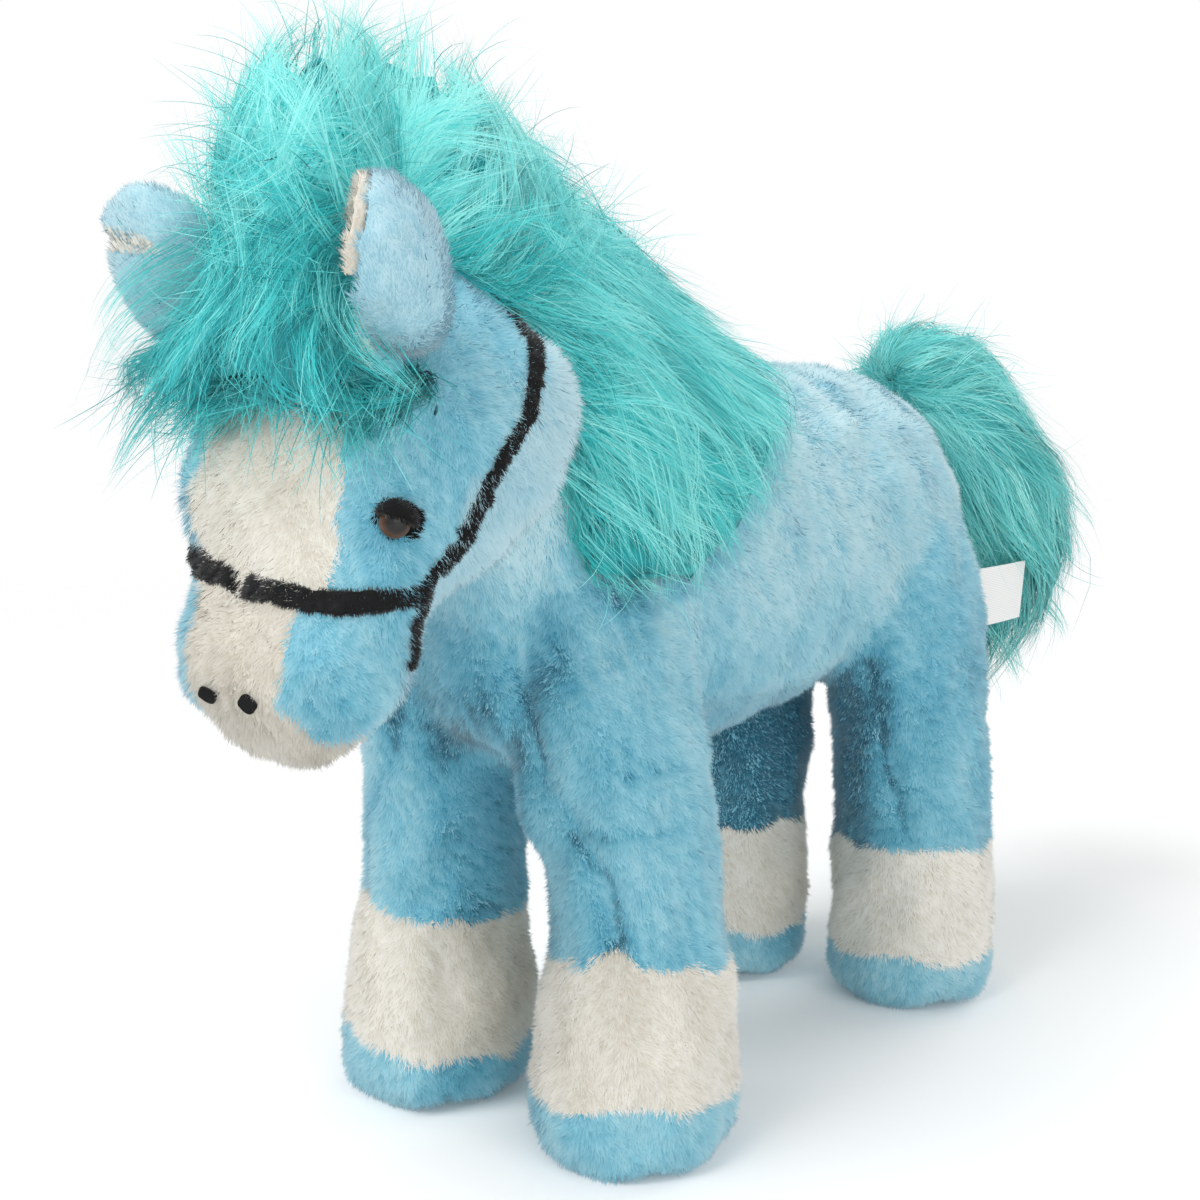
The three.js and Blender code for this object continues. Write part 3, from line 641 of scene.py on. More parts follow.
def stacked(parts: Sequence[Fibres]) -> Fibres:
    """Several lots of fibres as one."""
    shift, faces = 0, []
    for part in parts:
        faces.append(part.faces + shift)
        shift += len(part.points)
    return Fibres(
        np.concatenate([part.points for part in parts]),
        np.concatenate(faces),
        np.concatenate([part.pattern for part in parts]),
        np.concatenate([part.normals for part in parts]),
    )


def ribbons(
    paths: np.ndarray,
    side: np.ndarray,
    half_width: np.ndarray,
    shade: np.ndarray,
    facing: np.ndarray,
    reach: Optional[np.ndarray] = None,
) -> Fibres:
    """Turns fibre paths to flat tapered ribbons that end in a point.

    Args:
        paths: Fibres by steps by x, y and z.
        side: One direction across each fibre.
        half_width: Half width at each step but the last, by fibres and steps.
        shade: The pattern's U of each fibre.
        facing: The direction that each fibre shades by, by fibres.
        reach: How far up the pattern's V each fibre's tip gets, all the way where it's left out.

    Returns:
        The fibres as triangles.
    """
    count, steps, _ = paths.shape
    offset = side[:, None, :] * half_width[:, :, None]
    left, right = paths[:, :-1] - offset, paths[:, :-1] + offset
    rings = np.stack([left, right], 2).reshape(count, -1, 3)
    points = np.concatenate([rings, paths[:, -1:]], 1)
    each = points.shape[1]
    pattern_faces = []
    for ring in range(steps - 2):
        low = 2 * ring
        pattern_faces += [(low, low + 1, low + 3), (low, low + 3, low + 2)]
    last = 2 * (steps - 2)
    pattern_faces.append((last, last + 1, last + 2))
    faces = np.array(pattern_faces)[None] + (np.arange(count) * each)[:, None, None]
    along = np.linspace(0.03, 0.97, steps)
    v = np.concatenate([np.repeat(along[:-1], 2), along[-1:]])
    across = np.concatenate([np.tile([-0.006, 0.006], steps - 1), [0.0]])
    pattern = np.empty((count, each, 2))
    pattern[:, :, 0] = np.clip(shade, 0.01, 0.99)[:, None] + across
    pattern[:, :, 1] = v if reach is None else v * reach[:, None]
    normals = np.repeat(facing[:, None], each, 1)
    return Fibres(points.reshape(-1, 3), faces.reshape(-1, 3), pattern.reshape(-1, 2), normals.reshape(-1, 3))


def new_piece(name: str, fibres: Fibres, material: bpy.types.Material) -> bpy.types.Object:
    """Makes one object from fibres.

    Args:
        name: The piece's name.
        fibres: Its triangles.
        material: Its only material.

    Returns:
        The object.
    """
    mesh = bpy.data.meshes.new(name)
    count = len(fibres.faces)
    mesh.vertices.add(len(fibres.points))
    mesh.vertices.foreach_set("co", fibres.points.astype(np.float32).ravel())
    mesh.loops.add(3 * count)
    mesh.loops.foreach_set("vertex_index", fibres.faces.astype(np.int32).ravel())
    mesh.polygons.add(count)
    mesh.polygons.foreach_set("loop_start", np.arange(0, 3 * count, 3, dtype=np.int32))
    mesh.update(calc_edges=True)
    layer = mesh.uv_layers.new(name=PATTERN_MAP)
    layer.uv.foreach_set("vector", fibres.pattern[fibres.faces.ravel()].astype(np.float32).ravel())
    mesh.polygons.foreach_set("use_smooth", np.ones(count, bool))
    mesh.normals_split_custom_set(fibres.normals[fibres.faces.ravel()].astype(np.float32))
    mesh.materials.append(material)
    piece = bpy.data.objects.new(name, mesh)
    bpy.context.scene.collection.objects.link(piece)
    return piece


@dataclass
class Ground:
    """The cloth that fibres stand on, as places picked at random all over it."""

    points: np.ndarray
    normals: np.ndarray
    triangles: np.ndarray

    @classmethod
    def of(cls, piece: bpy.types.Object) -> "Ground":
        """Takes a piece's faces as the ground."""
        return cls(*parts_of(piece))

    def areas(self) -> np.ndarray:
        """The area of each face in square metres."""
        corners = self.points[self.triangles]
        return 0.5 * np.linalg.norm(np.cross(corners[:, 1] - corners[:, 0], corners[:, 2] - corners[:, 0]), axis=1)

    def area_mm2(self) -> float:
        """The ground's area in square millimetres."""
        return float(self.areas().sum() / MM**2)

    def pick(self, per_mm2: float, rng: np.random.Generator) -> tuple[np.ndarray, np.ndarray]:
        """Picks roots evenly all over the ground.

        Args:
            per_mm2: How many roots a square millimetre gets.
            rng: The random numbers.

        Returns:
            The roots and the cloth's direction at each.
        """
        area = self.areas()
        count = int(area.sum() / MM**2 * per_mm2)
        face = np.searchsorted(np.cumsum(area) / area.sum(), rng.random(count))
        face = np.minimum(face, len(area) - 1)
        a, b = rng.random((2, count))
        flip = a + b > 1
        a, b = np.where(flip, 1 - a, a), np.where(flip, 1 - b, b)
        weight = np.stack([1 - a - b, a, b], 1)[:, :, None]
        corner = self.triangles[face]
        return (self.points[corner] * weight).sum(1), unit((self.normals[corner] * weight).sum(1))


@dataclass(frozen=True)
class ShortPile:
    """Sheared plush: short fibres that lean with the nap and gather in small tufts."""

    length_mm: float = 2.9
    width_mm: float = 0.4
    per_mm2: float = 4.15
    lean_deg: float = 50
    tuft_mm: float = 4.6
    tuft_pull: float = 0.16
    long_share: float = 0.05
    facing_share: float = 0.97
    drift: float = 0.5
    stray: float = 0.36
    lean_spread_deg: float = 7
    length_spread: float = 0.12
    long_lean: float = 0.5
    long_length: float = 1.15
    long_width: float = 0.55
    usual_shade: float = 0.46
    shade_spread: float = 0.03

    def grow(
        self,
        roots: np.ndarray,
        normals: np.ndarray,
        nap: np.ndarray,
        light_and_tone: np.ndarray | float,
        seed: int,
        longer: np.ndarray | float = 1.0,
        looks: Optional[np.ndarray] = None,
    ) -> Fibres:
        """Grows a fibre at each root.

        Args:
            roots: Where the fibres start.
            normals: The cloth's direction at each root.
            nap: The way that the pile is brushed at each root.
            light_and_tone: How much paler than usual the fibres are.
            seed: The seed of the random numbers.
            longer: How much longer than usual they are.
            looks: The direction that they shade by, the cloth's own where it's left out.

        Returns:
            The fibres.
        """
        rng = np.random.default_rng(seed)
        count = len(roots)
        tuft, slope = Waves(self.tuft_mm, seed + 1).slopes(roots)
        broad = Waves(46, 11)(roots)
        patch, drift = Waves(24, 12).slopes(roots)
        along = unit(level(nap + self.drift * drift + self.stray * rng.normal(size=(count, 3)), normals))
        long_one = rng.random(count) < self.long_share
        lean_deg = self.lean_deg + self.lean_spread_deg * rng.normal(size=count)
        lean = np.radians(np.where(long_one, self.long_lean, 1.0) * lean_deg)[:, None]
        way = unit(normals * np.cos(lean) + along * np.sin(lean) + self.tuft_pull * level(slope, normals))
        length = self.length_mm * MM * (1 + self.length_spread * rng.normal(size=count) + 0.05 * tuft) * longer
        length = np.where(long_one, length * self.long_length, length)
        across = unit(np.cross(way, normals) + 0.3 * rng.normal(size=(count, 3)))
        side, blade = turned_out(unit(level(across, way)), way, normals)
        facing = unit(self.facing_share * (normals if looks is None else looks) + (1 - self.facing_share) * blade)
        width = self.width_mm * MM * np.where(long_one, self.long_width, 1.0) * (0.8 + 0.4 * rng.random(count))
        shade = self.usual_shade + 0.045 * tuft + 0.05 * broad + 0.04 * patch
        # Then the painted light and shade, and the paler tone, that the caller gives.
        shade = shade + self.shade_spread * rng.normal(size=count) + light_and_tone
        paths = np.stack([roots, roots + way * length[:, None]], 1)
        return ribbons(paths, side, 0.5 * width[:, None], shade, facing)


# The sewn forms


@dataclass(frozen=True)
class Crease:
    """A seam or fold that draws the plush in along a line, or a roll that stands out where its depth is below zero."""

    line: tuple[tuple[float, float, float], ...]
    depth_mm: float
    half_width_mm: float = 3.2
    # How far either side of its line a seam or fold is painted darker, as shade.
    dark_half_mm: float = 1.3
    step_mm: float = 1.5

    def mirrored(self) -> "Crease":
        """The same fold on the other side of the horse."""
        return replace(self, line=tuple((2 * MIDDLE_MM - x, y, z) for x, y, z in self.line))

    def on(self, cloth: Hull) -> "Crease":
        """The same fold with its line laid on the cloth in short steps."""
        line = np.array(self.line) * MM
        run = np.concatenate([[0.0], np.cumsum(np.linalg.norm(np.diff(line, axis=0), axis=1))])
        places = np.arange(0, run[-1], self.step_mm * MM)
        dense = np.stack([np.interp(places, run, line[:, axis]) for axis in range(3)], 1)
        laid = cloth.nearest(dense)[0] / MM
        return replace(self, line=tuple(map(tuple, laid.tolist())))

    def apart(self, places: np.ndarray) -> np.ndarray:
        """How far each place lies from the fold in millimetres, 99 for those well away."""
        line = np.array(self.line) * MM
        result = np.full(len(places), 99.0)
        room = 3 * self.half_width_mm * MM
        close = ((places > line.min(0) - room) & (places < line.max(0) + room)).all(1)
        near = np.full(int(close.sum()), 1.0)
        for start, end in zip(line[:-1], line[1:]):
            run = end - start
            part = np.clip((places[close] - start) @ run / max(run @ run, 1e-12), 0, 1)
            near = np.minimum(near, np.linalg.norm(places[close] - start - part[:, None] * run, axis=1))
        result[close] = near / MM
        return result


@dataclass(frozen=True)
class Cover:
    """One sewn cover: the node that it stands for, its pile and how its fibres differ."""

    node: str
    pile: Pile
    short: ShortPile
    paler: float = 0.0


def layered(node: str, pile: Pile, backing: Fibres, fibres: Fibres, body: str) -> None:
    """Makes the two pieces of one cover: its cloth and its pile.

    The pile lets light through, since fibres glow in the real cloth and hardly shade each other.

    Args:
        node: The solid that they stand for.
        pile: The cover's pile.
        backing: The cloth's triangles.
        fibres: The pile's.
        body: The body that carries them.
    """
    for part, made in (("backing", backing), ("pile", fibres)):
        piece = new_piece(f"{node}_{part}", made, material_of(pile))
        piece.visible_shadow = piece.visible_diffuse = part == "backing"
        settle(piece, body, [node])


def cloth_layer(points: np.ndarray, normals: np.ndarray, triangles: np.ndarray, thick_mm: float = 1.2) -> Fibres:
    """The knitted backing of one cover as a closed layer of cloth.

    Args:
        points: The whole cloth's points.
        normals: Its directions.
        triangles: The cover's faces.
        thick_mm: The layer's thickness.

    Returns:
        The layer's triangles, shaded as the pile's root.
    """
    used, corner = np.unique(triangles, return_inverse=True)
    faces = corner.reshape(-1, 3)
    outer, way = points[used], normals[used]
    inner = outer - way * thick_mm * MM
    count = len(used)
    pairs = np.concatenate([faces[:, [0, 1]], faces[:, [1, 2]], faces[:, [2, 0]]])
    keys = pairs[:, 0] * count + pairs[:, 1]
    back = pairs[:, 1] * count + pairs[:, 0]
    rim = pairs[~np.isin(keys, back)]
    first, second = rim[:, 0], rim[:, 1]
    walls = np.concatenate(
        [np.stack([second, first, first + count], 1), np.stack([second, first + count, second + count], 1)]
    )
    whole = np.concatenate([faces, faces[:, ::-1] + count, walls])
    tuft = 0.42 + 0.08 * Waves(9, 6)(outer)
    pattern = np.stack([np.tile(tuft, 2), 0.34 + 0.04 * np.tile(Waves(5, 8)(outer), 2)], 1)
    return Fibres(np.concatenate([outer, inner]), whole, np.clip(pattern, 0.01, 0.99), np.concatenate([way, -way]))


def plain_backing(
    points: np.ndarray, normals: np.ndarray, triangles: np.ndarray,
    shade: float, wave: Waves, spread: float, depth: float,
) -> Fibres:
    """The cloth under a pile, just as it is.

    Args:
        points: Its points.
        normals: Its directions.
        triangles: Its faces.
        shade: The middle of the pattern's U.
        wave: The hills by which U differs.
        spread: How much it differs.
        depth: The pattern's V.

    Returns:
        The cloth's triangles.
    """
    pattern = np.stack([shade + spread * wave(points), np.full(len(points), depth)], 1)
    return Fibres(points, triangles, np.clip(pattern, 0.01, 0.99), normals)


def middle_of(node: str) -> np.ndarray:
    """The middle of a node's box."""
    low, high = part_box(node)
    return (np.array(low) + np.array(high)) / 2


class StuffedForm:
    """A part of the horse that is stuffed as one: the smooth cloth under its pile, and its covers."""

    grow_mm = 2.9
    voxel_mm = 2.4
    pile_height_mm = 2.0
    wander_mm = 1.4
    scatter_mm = 0.7
    # Painted shade: folds are painted darker by how far the light that reaches them falls below open_from, up to
    # most_closed; seams and folds are painted darker along their lines by crease_shade and crease_dark, and rolls paler
    # by crease_shade.
    fold_dimming = 0.9
    open_from = 0.92
    most_closed = 0.36
    crease_shade = 0.12
    crease_dark = 0.15

    def __init__(self, name: str, stuffings: Sequence[str], covers: Sequence[Cover], seed: int) -> None:
        """Notes what the form is made of.

        Args:
            name: The form's name.
            stuffings: The nodes of its stuffing.
            covers: The covers that are sewn round it.
            seed: The seed of its random numbers.
        """
        self.name, self.stuffings, self.covers, self.seed = name, stuffings, covers, seed
        self.buried_in: list[tuple[Hull, float]] = []
        self.creases: list[Crease] = []
        self.spots: list[tuple[np.ndarray, float]] = []
        self.tufts: list[tuple[tuple[float, float, float], float, float]] = []
        self.cloth: bpy.types.Object
        self.openness: Openness
        self.tree: BVHTree
        self.owner: np.ndarray

    def longer(self, roots: np.ndarray) -> np.ndarray:
        """How much longer than usual the pile is at each root, by the tufts: their place, radius and share."""
        factor = np.ones(len(roots))
        for place, radius_mm, more in self.tufts:
            factor += more * bell(np.linalg.norm(roots / MM - np.array(place), axis=1) / radius_mm)
        return factor

    def plugs(self) -> list[bpy.types.Object]:
        """Solids that close what the stuffing leaves open."""
        return []

    def sew(self) -> None:
        """Makes the smooth cloth from the stuffing's solids."""
        solids = [copy_of_node(node) for node in self.stuffings]
        for solid in solids:
            edit(solid, lambda: bpy.ops.transform.shrink_fatten(value=self.grow_mm * MM))
        self.cloth = remeshed(joined(solids + self.plugs(), f"{self.name}_cloth"), self.voxel_mm, 0.6, 14)
        hull = Hull.of(self.cloth)
        self.creases = [crease.on(hull) for crease in self.creases]
        height = self.pile_height_mm * MM - self.relief(hull.points)
        set_points(self.cloth.data, hull.points - hull.normals * height[:, None])
        hull = Hull.of(self.cloth)
        self.creases = [crease.on(hull) for crease in self.creases]

    def relief(self, points: np.ndarray) -> np.ndarray:
        """How far the stuffing pushes the cloth out or lets it in, in metres."""
        lumps = 0.6 * Waves(24, 5)(points) + 0.22 * Waves(10, 6)(points)
        for crease in self.creases:
            lumps = lumps - crease.depth_mm * bell(crease.apart(points) / crease.half_width_mm)
        return lumps * MM

    def light_and_tone(self, roots: np.ndarray, normals: np.ndarray) -> np.ndarray:
        """How much paler the pile is painted than its usual shade at each root: darker as painted shade where little
        light reaches the folds and along seams and folds, and paler as painted light along rolls.
        """
        shade = -self.fold_dimming * np.clip(self.open_from - self.openness(roots), 0, self.most_closed)
        for crease in self.creases:
            apart = crease.apart(roots)
            shade -= np.sign(crease.depth_mm) * self.crease_shade * bell(apart / crease.half_width_mm)
            if crease.depth_mm > 0:
                shade -= self.crease_dark * bell(apart / crease.dark_half_mm)
        return shade

    def matched(self, places: np.ndarray) -> np.ndarray:
        """Where on the solids the pattern of each place is read."""
        return places

    def read_pattern(self) -> None:
        """Notes which cover each face of the solids belongs to."""
        points, faces, owner, shift = [], [], [], 0
        for number, cover in enumerate(self.covers):
            mesh = frame["nodes"][cover.node].data
            corners, triangles = points_of(mesh), triangles_of(mesh)
            points.append(corners)
            faces.append(triangles + shift)
            owner.append(np.full(len(triangles), number))
            shift += len(corners)
        self.tree = BVHTree.FromPolygons(np.concatenate(points).tolist(), np.concatenate(faces).tolist())
        self.owner = np.concatenate(owner)

    def owners(self, places: np.ndarray) -> np.ndarray:
        """The number of the cover that lies nearest each place."""
        return self.owner[np.array([self.tree.find_nearest(place)[2] for place in self.matched(places).tolist()])]

    def dress(self) -> None:
        """Cuts the cloth to its covers and grows each cover's pile."""
        self.read_pattern()
        points, normals, triangles = parts_of(self.cloth)
        outer = points + normals * self.pile_height_mm * MM + self.wander(points)
        at_points = self.owners(outer)
        at_faces = self.owners(outer[triangles].mean(1))
        mixed = (at_points[triangles] != at_faces[:, None]).any(1)
        for number, cover in enumerate(self.covers):
            rng = np.random.default_rng(self.seed + 10 * number)
            whole = Ground(points, normals, triangles[(at_faces == number) & ~mixed])
            roots, ways = whole.pick(cover.short.per_mm2, rng)
            touched = (at_points[triangles] == number).any(1) | (at_faces == number)
            more, more_ways = Ground(points, normals, triangles[mixed & touched]).pick(cover.short.per_mm2, rng)
            loose = more + more_ways * self.pile_height_mm * MM + rng.normal(size=more.shape) * self.scatter_mm * MM
            own = self.owners(loose + self.wander(more)) == number
            roots, ways = np.concatenate([roots, more[own]]), np.concatenate([ways, more_ways[own]])
            keep = self.shows(roots) & self.bare(roots)
            roots, ways = roots[keep], ways[keep]
            shade = self.light_and_tone(roots, ways) + cover.paler
            nap = np.tile(NAP, (len(roots), 1))
            fibres = cover.short.grow(roots, ways, nap, shade, self.seed + 100 * number, self.longer(roots))
            cloth = cloth_layer(points, normals, triangles[at_faces == number])
            for made in (cloth, fibres):
                made.points[:, 2] = np.maximum(made.points[:, 2], 0.1 * MM)
            layered(cover.node, cover.pile, cloth, fibres, "body")

    def wander(self, points: np.ndarray) -> np.ndarray:
        """How far the covers' borders wander at each place."""
        return Waves(13, self.seed + 3).slopes(points)[1] * self.wander_mm * MM

    def bare(self, roots: np.ndarray) -> np.ndarray:
        """Which roots keep off the spots where something is sewn over the cloth."""
        free = np.ones(len(roots), bool)
        for place, radius_mm in self.spots:
            free &= np.linalg.norm(roots - place, axis=1) > radius_mm * MM
        return free

    def shows(self, roots: np.ndarray) -> np.ndarray:
        """Which roots aren't buried deep in another form."""
        seen = np.ones(len(roots), bool)
        for hull, depth_mm in self.buried_in:
            seen &= hull.outside(roots) > -depth_mm * MM
        return seen


def settle(piece: bpy.types.Object, body: str, nodes: Sequence[str]) -> None:
    """Fixes a finished piece to its body and the nodes that it stands for.

    Args:
        piece: The finished piece.
        body: The body that carries it.
        nodes: The nodes that it replaces.
    """
    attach(piece, body)
    if nodes:
        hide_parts(*nodes)
    log.info("%s rides on %s: %d faces", piece.name, body, len(piece.data.polygons))


NAP = np.array([0.0, 0.45, -1.0])
LEGS = ("left_front", "right_front", "left_hind", "right_hind")
# How much paler each leg's pile is painted, as the light and shade on it: the far right hind leg darkest, as it stands
# in shade.
LEG_PAINTED_LIGHT = {"left_front": 0.0, "right_front": 0.1, "left_hind": -0.1, "right_hind": -0.28}
MIDDLE_MM = -1.75
FRONT_SEAM = (
    (17.9, -110.4, 142.8),
    (20.1, -107.8, 135.6),
    (24.2, -107.4, 125.3),
    (25.8, -105.4, 109.6),
    (32.4, -105.5, 100.6),
    (34.9, -104.4, 95.3),
    (39, -103.2, 90.3),
    (42.5, -102.1, 82.5),
    (45.3, -101.3, 71.8),
    (46.7, -100.9, 62.8),
)
# Seams and folds of the legs: drawn in, and painted darker along their lines as shade.
LEG_CREASES = (
    Crease(FRONT_SEAM, 1.8),
    Crease(((47.5, -96.5, 113), (52.3, -88.9, 112.5), (56, -78, 114)), 1.1, dark_half_mm=1.0),
    Crease(((34.9, -104.4, 95.3), (42.6, -102.1, 94.6), (50.4, -95.1, 96.8), (55.3, -84, 96.5)), 1.3, dark_half_mm=1.0),
    Crease(((34.6, 46.6, 116), (36.6, 48.8, 101), (38.7, 50.2, 88), (44.4, 51, 69), (48, 51.5, 58)), 1.6),
)
# Rolls on the inner thighs that stand out, and are painted paler as light.
INNER_THIGHS = (
    Crease(((15, -102, 128), (17, -100, 112), (20, -98, 96)), -4.5, 9),
    Crease(((-20, -68, 126), (-20, -68, 98)), -3.5, 9),
)


class Body(StuffedForm):
    """The trunk, neck and legs."""

    # How the seams of socks and hooves rise and drop round a leg, each with its height in mm and width in degrees.
    front_rise = (2.2, 30)
    back_drop = (3, 60)
    peak = (1.5, 8)
    front_turn_deg = 29
    hind_share = 0.3

    def __init__(self) -> None:
        """Names the trunk's covers."""
        short = ShortPile()
        trunk = ("left_side_panel", "right_side_panel", "belly_gusset")
        covers = [Cover(node, Pile.SKY, short, 0.14) for node in trunk]
        for leg in LEGS:
            hind = leg.endswith("hind")
            covers.append(Cover(f"{leg}_leg_cover", Pile.SKY, short, LEG_PAINTED_LIGHT[leg]))
            # The hind socks and hooves are painted paler than the front ones, as light against the shade that they get.
            covers.append(Cover(f"{leg}_sock", Pile.CREAM, short, 0.46 if hind else 0.24))
            covers.append(Cover(f"{leg}_hoof", Pile.SKY, short, 0.16 if hind else 0.04))
        stuffings = ["body_stuffing", "neck_stuffing", *(f"{leg}_leg_stuffing" for leg in LEGS)]
        super().__init__("body", stuffings, covers, 100)
        right_seam = replace(LEG_CREASES[0], depth_mm=1.0).mirrored()
        self.creases = [*LEG_CREASES, *INNER_THIGHS, right_seam, LEG_CREASES[3].mirrored()]

    def matched(self, places: np.ndarray) -> np.ndarray:
        """The seams of socks and hooves rise towards the front of each leg, with a small peak there.

        Args:
            places: Rows of places on the cloth.

        Returns:
            Where on the solids the pattern of each is read.
        """
        moved = places.copy()
        for leg in LEGS:
            apart = places - middle_of(f"{leg}_hoof")
            own = (places[:, 2] < 0.09) & (np.linalg.norm(apart[:, :2], axis=1) < 0.045)
            side = 1 if leg.startswith("left") else -1
            turn = np.degrees(np.arctan2(side * apart[own, 0], -apart[own, 1])) - self.front_turn_deg
            turn = (turn + 180) % 360 - 180
            rise = self.front_rise[0] * bell(turn / self.front_rise[1])
            rise -= self.back_drop[0] * (1 - bell(turn / self.back_drop[1]))
            rise += self.peak[0] * bell(turn / self.peak[1])
            moved[own, 2] -= (self.hind_share if leg.endswith("hind") else 1.0) * rise * MM
        moved[:, 2] = np.maximum(moved[:, 2], 1 * MM)
        return moved

    def light_and_tone(self, roots: np.ndarray, normals: np.ndarray) -> np.ndarray:
        """Paler higher up, as painted light from above, and paler on the throat behind the jaw; darker on the chest
        between the forelegs and where the pile faces down, as painted shade.
        """
        x, y, z = roots.T / MM
        # Painted light higher up, where light falls from above.
        up = share((z - 130) / 60)
        throat = bell(self.buried_in[0][0].outside(roots) / MM / 18) * share((z - 139) / 13)
        # Painted shade on the chest between the forelegs.
        chest = share((-y - 90) / 10) * share((26 - np.abs(x)) / 8) * share((138 - z) / 10)
        # Painted shade also where the pile faces down.
        return super().light_and_tone(roots, normals) + 0.2 * up + 0.75 * throat - 0.2 * chest - 0.2 * share(-normals[:, 2])


def strap_shift(places: np.ndarray) -> np.ndarray:
    """How far forward of its solid the cheek strap lies at each place, in metres."""
    side = share((np.abs(places[:, 0] / MM - MIDDLE_MM) - 25) / 12)
    return 12 * MM * side * bell((places[:, 2] / MM - 200) / 22)


RIGHT_EYE_SHIFT = (0.8, 3.4, -0.4)
# A roll along the jaw that stands out, and is painted paler as light.
JAW_ROLL = Crease(((49, -124, 214), (48, -126, 202), (42, -131, 188), (35, -137, 174)), -7.0, 13)


class Head(StuffedForm):
    """The head with its face panels."""

    fold_dimming = 0.55
    white_over = 0.2
    brow_over = 0.22
    brow_mm = ((-38.0, -171.0, 189.0), (11, 13, 15))
    brow_fuller_mm = 3.8
    ball_mm = 7.2

    def __init__(self) -> None:
        """Names the head's covers."""
        short = ShortPile(length_mm=3.1)
        covers = [Cover("blaze_panel", Pile.CREAM, short, 0.06), Cover("muzzle_panel", Pile.CREAM, short, -0.18)]
        for side in ("left", "right"):
            # The cheeks are painted darker, as the shade that they lie in.
            covers.append(Cover(f"{side}_cheek_panel", Pile.SKY, short, -0.08))
            covers.append(Cover(f"{side}_jaw_panel", Pile.PALE, ShortPile(length_mm=3.9)))
            covers.append(Cover(f"{side}_muzzle_patch", Pile.SKY, short))
        super().__init__("head", ["head_stuffing"], covers, 200)
        for side in ("left", "right"):
            self.spots.append((middle_of(f"{side}_nostril"), 3.4))
            shift = np.array(RIGHT_EYE_SHIFT) * MM if side == "right" else 0
            self.spots.append((middle_of(f"{side}_eye_felt") + shift, 4.2))
        self.tufts = [((-4.6, -179.5, 178), 3.0, 0.8), ((-40, -173, 186), 9, 0.6)]
        self.creases = [JAW_ROLL, JAW_ROLL.mirrored()]

    def relief(self, points: np.ndarray) -> np.ndarray:
        """The right brow is stuffed fuller, so that the right eye lies deeper in the plush."""
        place, radii = self.brow_mm
        apart = np.linalg.norm((points / MM - np.array(place)) / np.array(radii), axis=1)
        return super().relief(points) + self.brow_fuller_mm * bell(apart) * MM

    def light_and_tone(self, roots: np.ndarray, normals: np.ndarray) -> np.ndarray:
        """The cheeks are paler towards the ears, on top of the painted shade of folds."""
        return super().light_and_tone(roots, normals) + 0.22 * share((roots[:, 2] / MM - 190) / 35)

    def matched(self, places: np.ndarray) -> np.ndarray:
        """The white pile lies out over the blue beside it, and the jaw panels reach forward to the strap."""
        front = share((-140 - places[:, 1] / MM) / 12)
        middle = MIDDLE_MM * MM
        brow = share((places[:, 2] / MM - 172) / 8) * (places[:, 0] < middle)
        moved = places.copy()
        moved[:, 0] = middle + (places[:, 0] - middle) * (1 - (self.white_over + self.brow_over * brow) * front)
        moved[:, 1] += strap_shift(places)
        return moved

    def plugs(self) -> list[bpy.types.Object]:
        """Balls that fill the pockets round the eye washers."""
        balls = []
        for side in ("left", "right"):
            low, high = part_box(f"{side}_eye_washer")
            settings = {"subdivisions": 3, "radius": self.ball_mm * MM, "location": (low + high) / 2}
            balls.append(primitive(bpy.ops.mesh.primitive_ico_sphere_add, **settings))
        return balls


@dataclass(frozen=True)
class Fibrefill:
    """The polyester stuffing inside the plush: a soft lumpy mass that keeps off the cloth."""

    nodes: tuple[str, ...]
    inset_mm: float = 5.2
    voxel_mm: float = 3.0
    lump_mm: float = 0.8
    most_share: float = 0.36
    room_mm: float = 2.4
    fill: float = 0.85

    def build(self, cloth: Hull) -> None:
        """Makes each stuffing as a lumpy closed mass and puts it in its cover.

        Args:
            cloth: The cloth round it.
        """
        for node in self.nodes:
            piece = copy_of_node(node)
            piece.name = piece.data.name = f"{node}_fill"
            remeshed(piece, self.voxel_mm, 0.6, 10)
            points, normals, _ = parts_of(piece)
            inward = self.inset_mm - self.lump_mm * Waves(16, 31)(points)
            inward = np.minimum(inward, self.most_share * Hull.of(piece).thickness())
            set_points(piece.data, cloth.kept_in(points - normals * (inward * MM)[:, None], self.room_mm))
            piece.data.materials.append(material_of(Grain.FIBREFILL))
            edit(piece, lambda: bpy.ops.mesh.normals_make_consistent(inside=False))
            settle(piece, "body", [node])


# The long hair


@dataclass(frozen=True)
class Locks:
    """How long pile falls: sizes of its strands and of the locks that they gather in."""

    guides: int = 800
    children: int = 16
    steps: int = 6
    length_mm: tuple[float, float] = (38, 62)
    root_depth_mm: tuple[float, float] = (5, 8)
    tip_rise_mm: tuple[float, float] = (-2.5, 4)
    overhang_mm: float = 5
    root_spread_mm: float = 4.2
    tip_spread_mm: float = 1.7
    root_width_mm: float = 0.48
    tip_width_mm: float = 0.16
    stray: float = 0.16
    wild_share: float = 0.12
    lean: float = 0.16
    flyaways: int = 160
    flyaway_mm: tuple[float, float] = (12, 25)
    flatness: float = 0.55
    stray_mm: float = 14
    wild_stray: float = 2.1
    calm_stray: float = 0.35
    kept: tuple[float, float] = (0.72, 1.04)
    wild_width: float = 0.6
    loose_width: float = 0.5
    loose_shade: float = 0.78


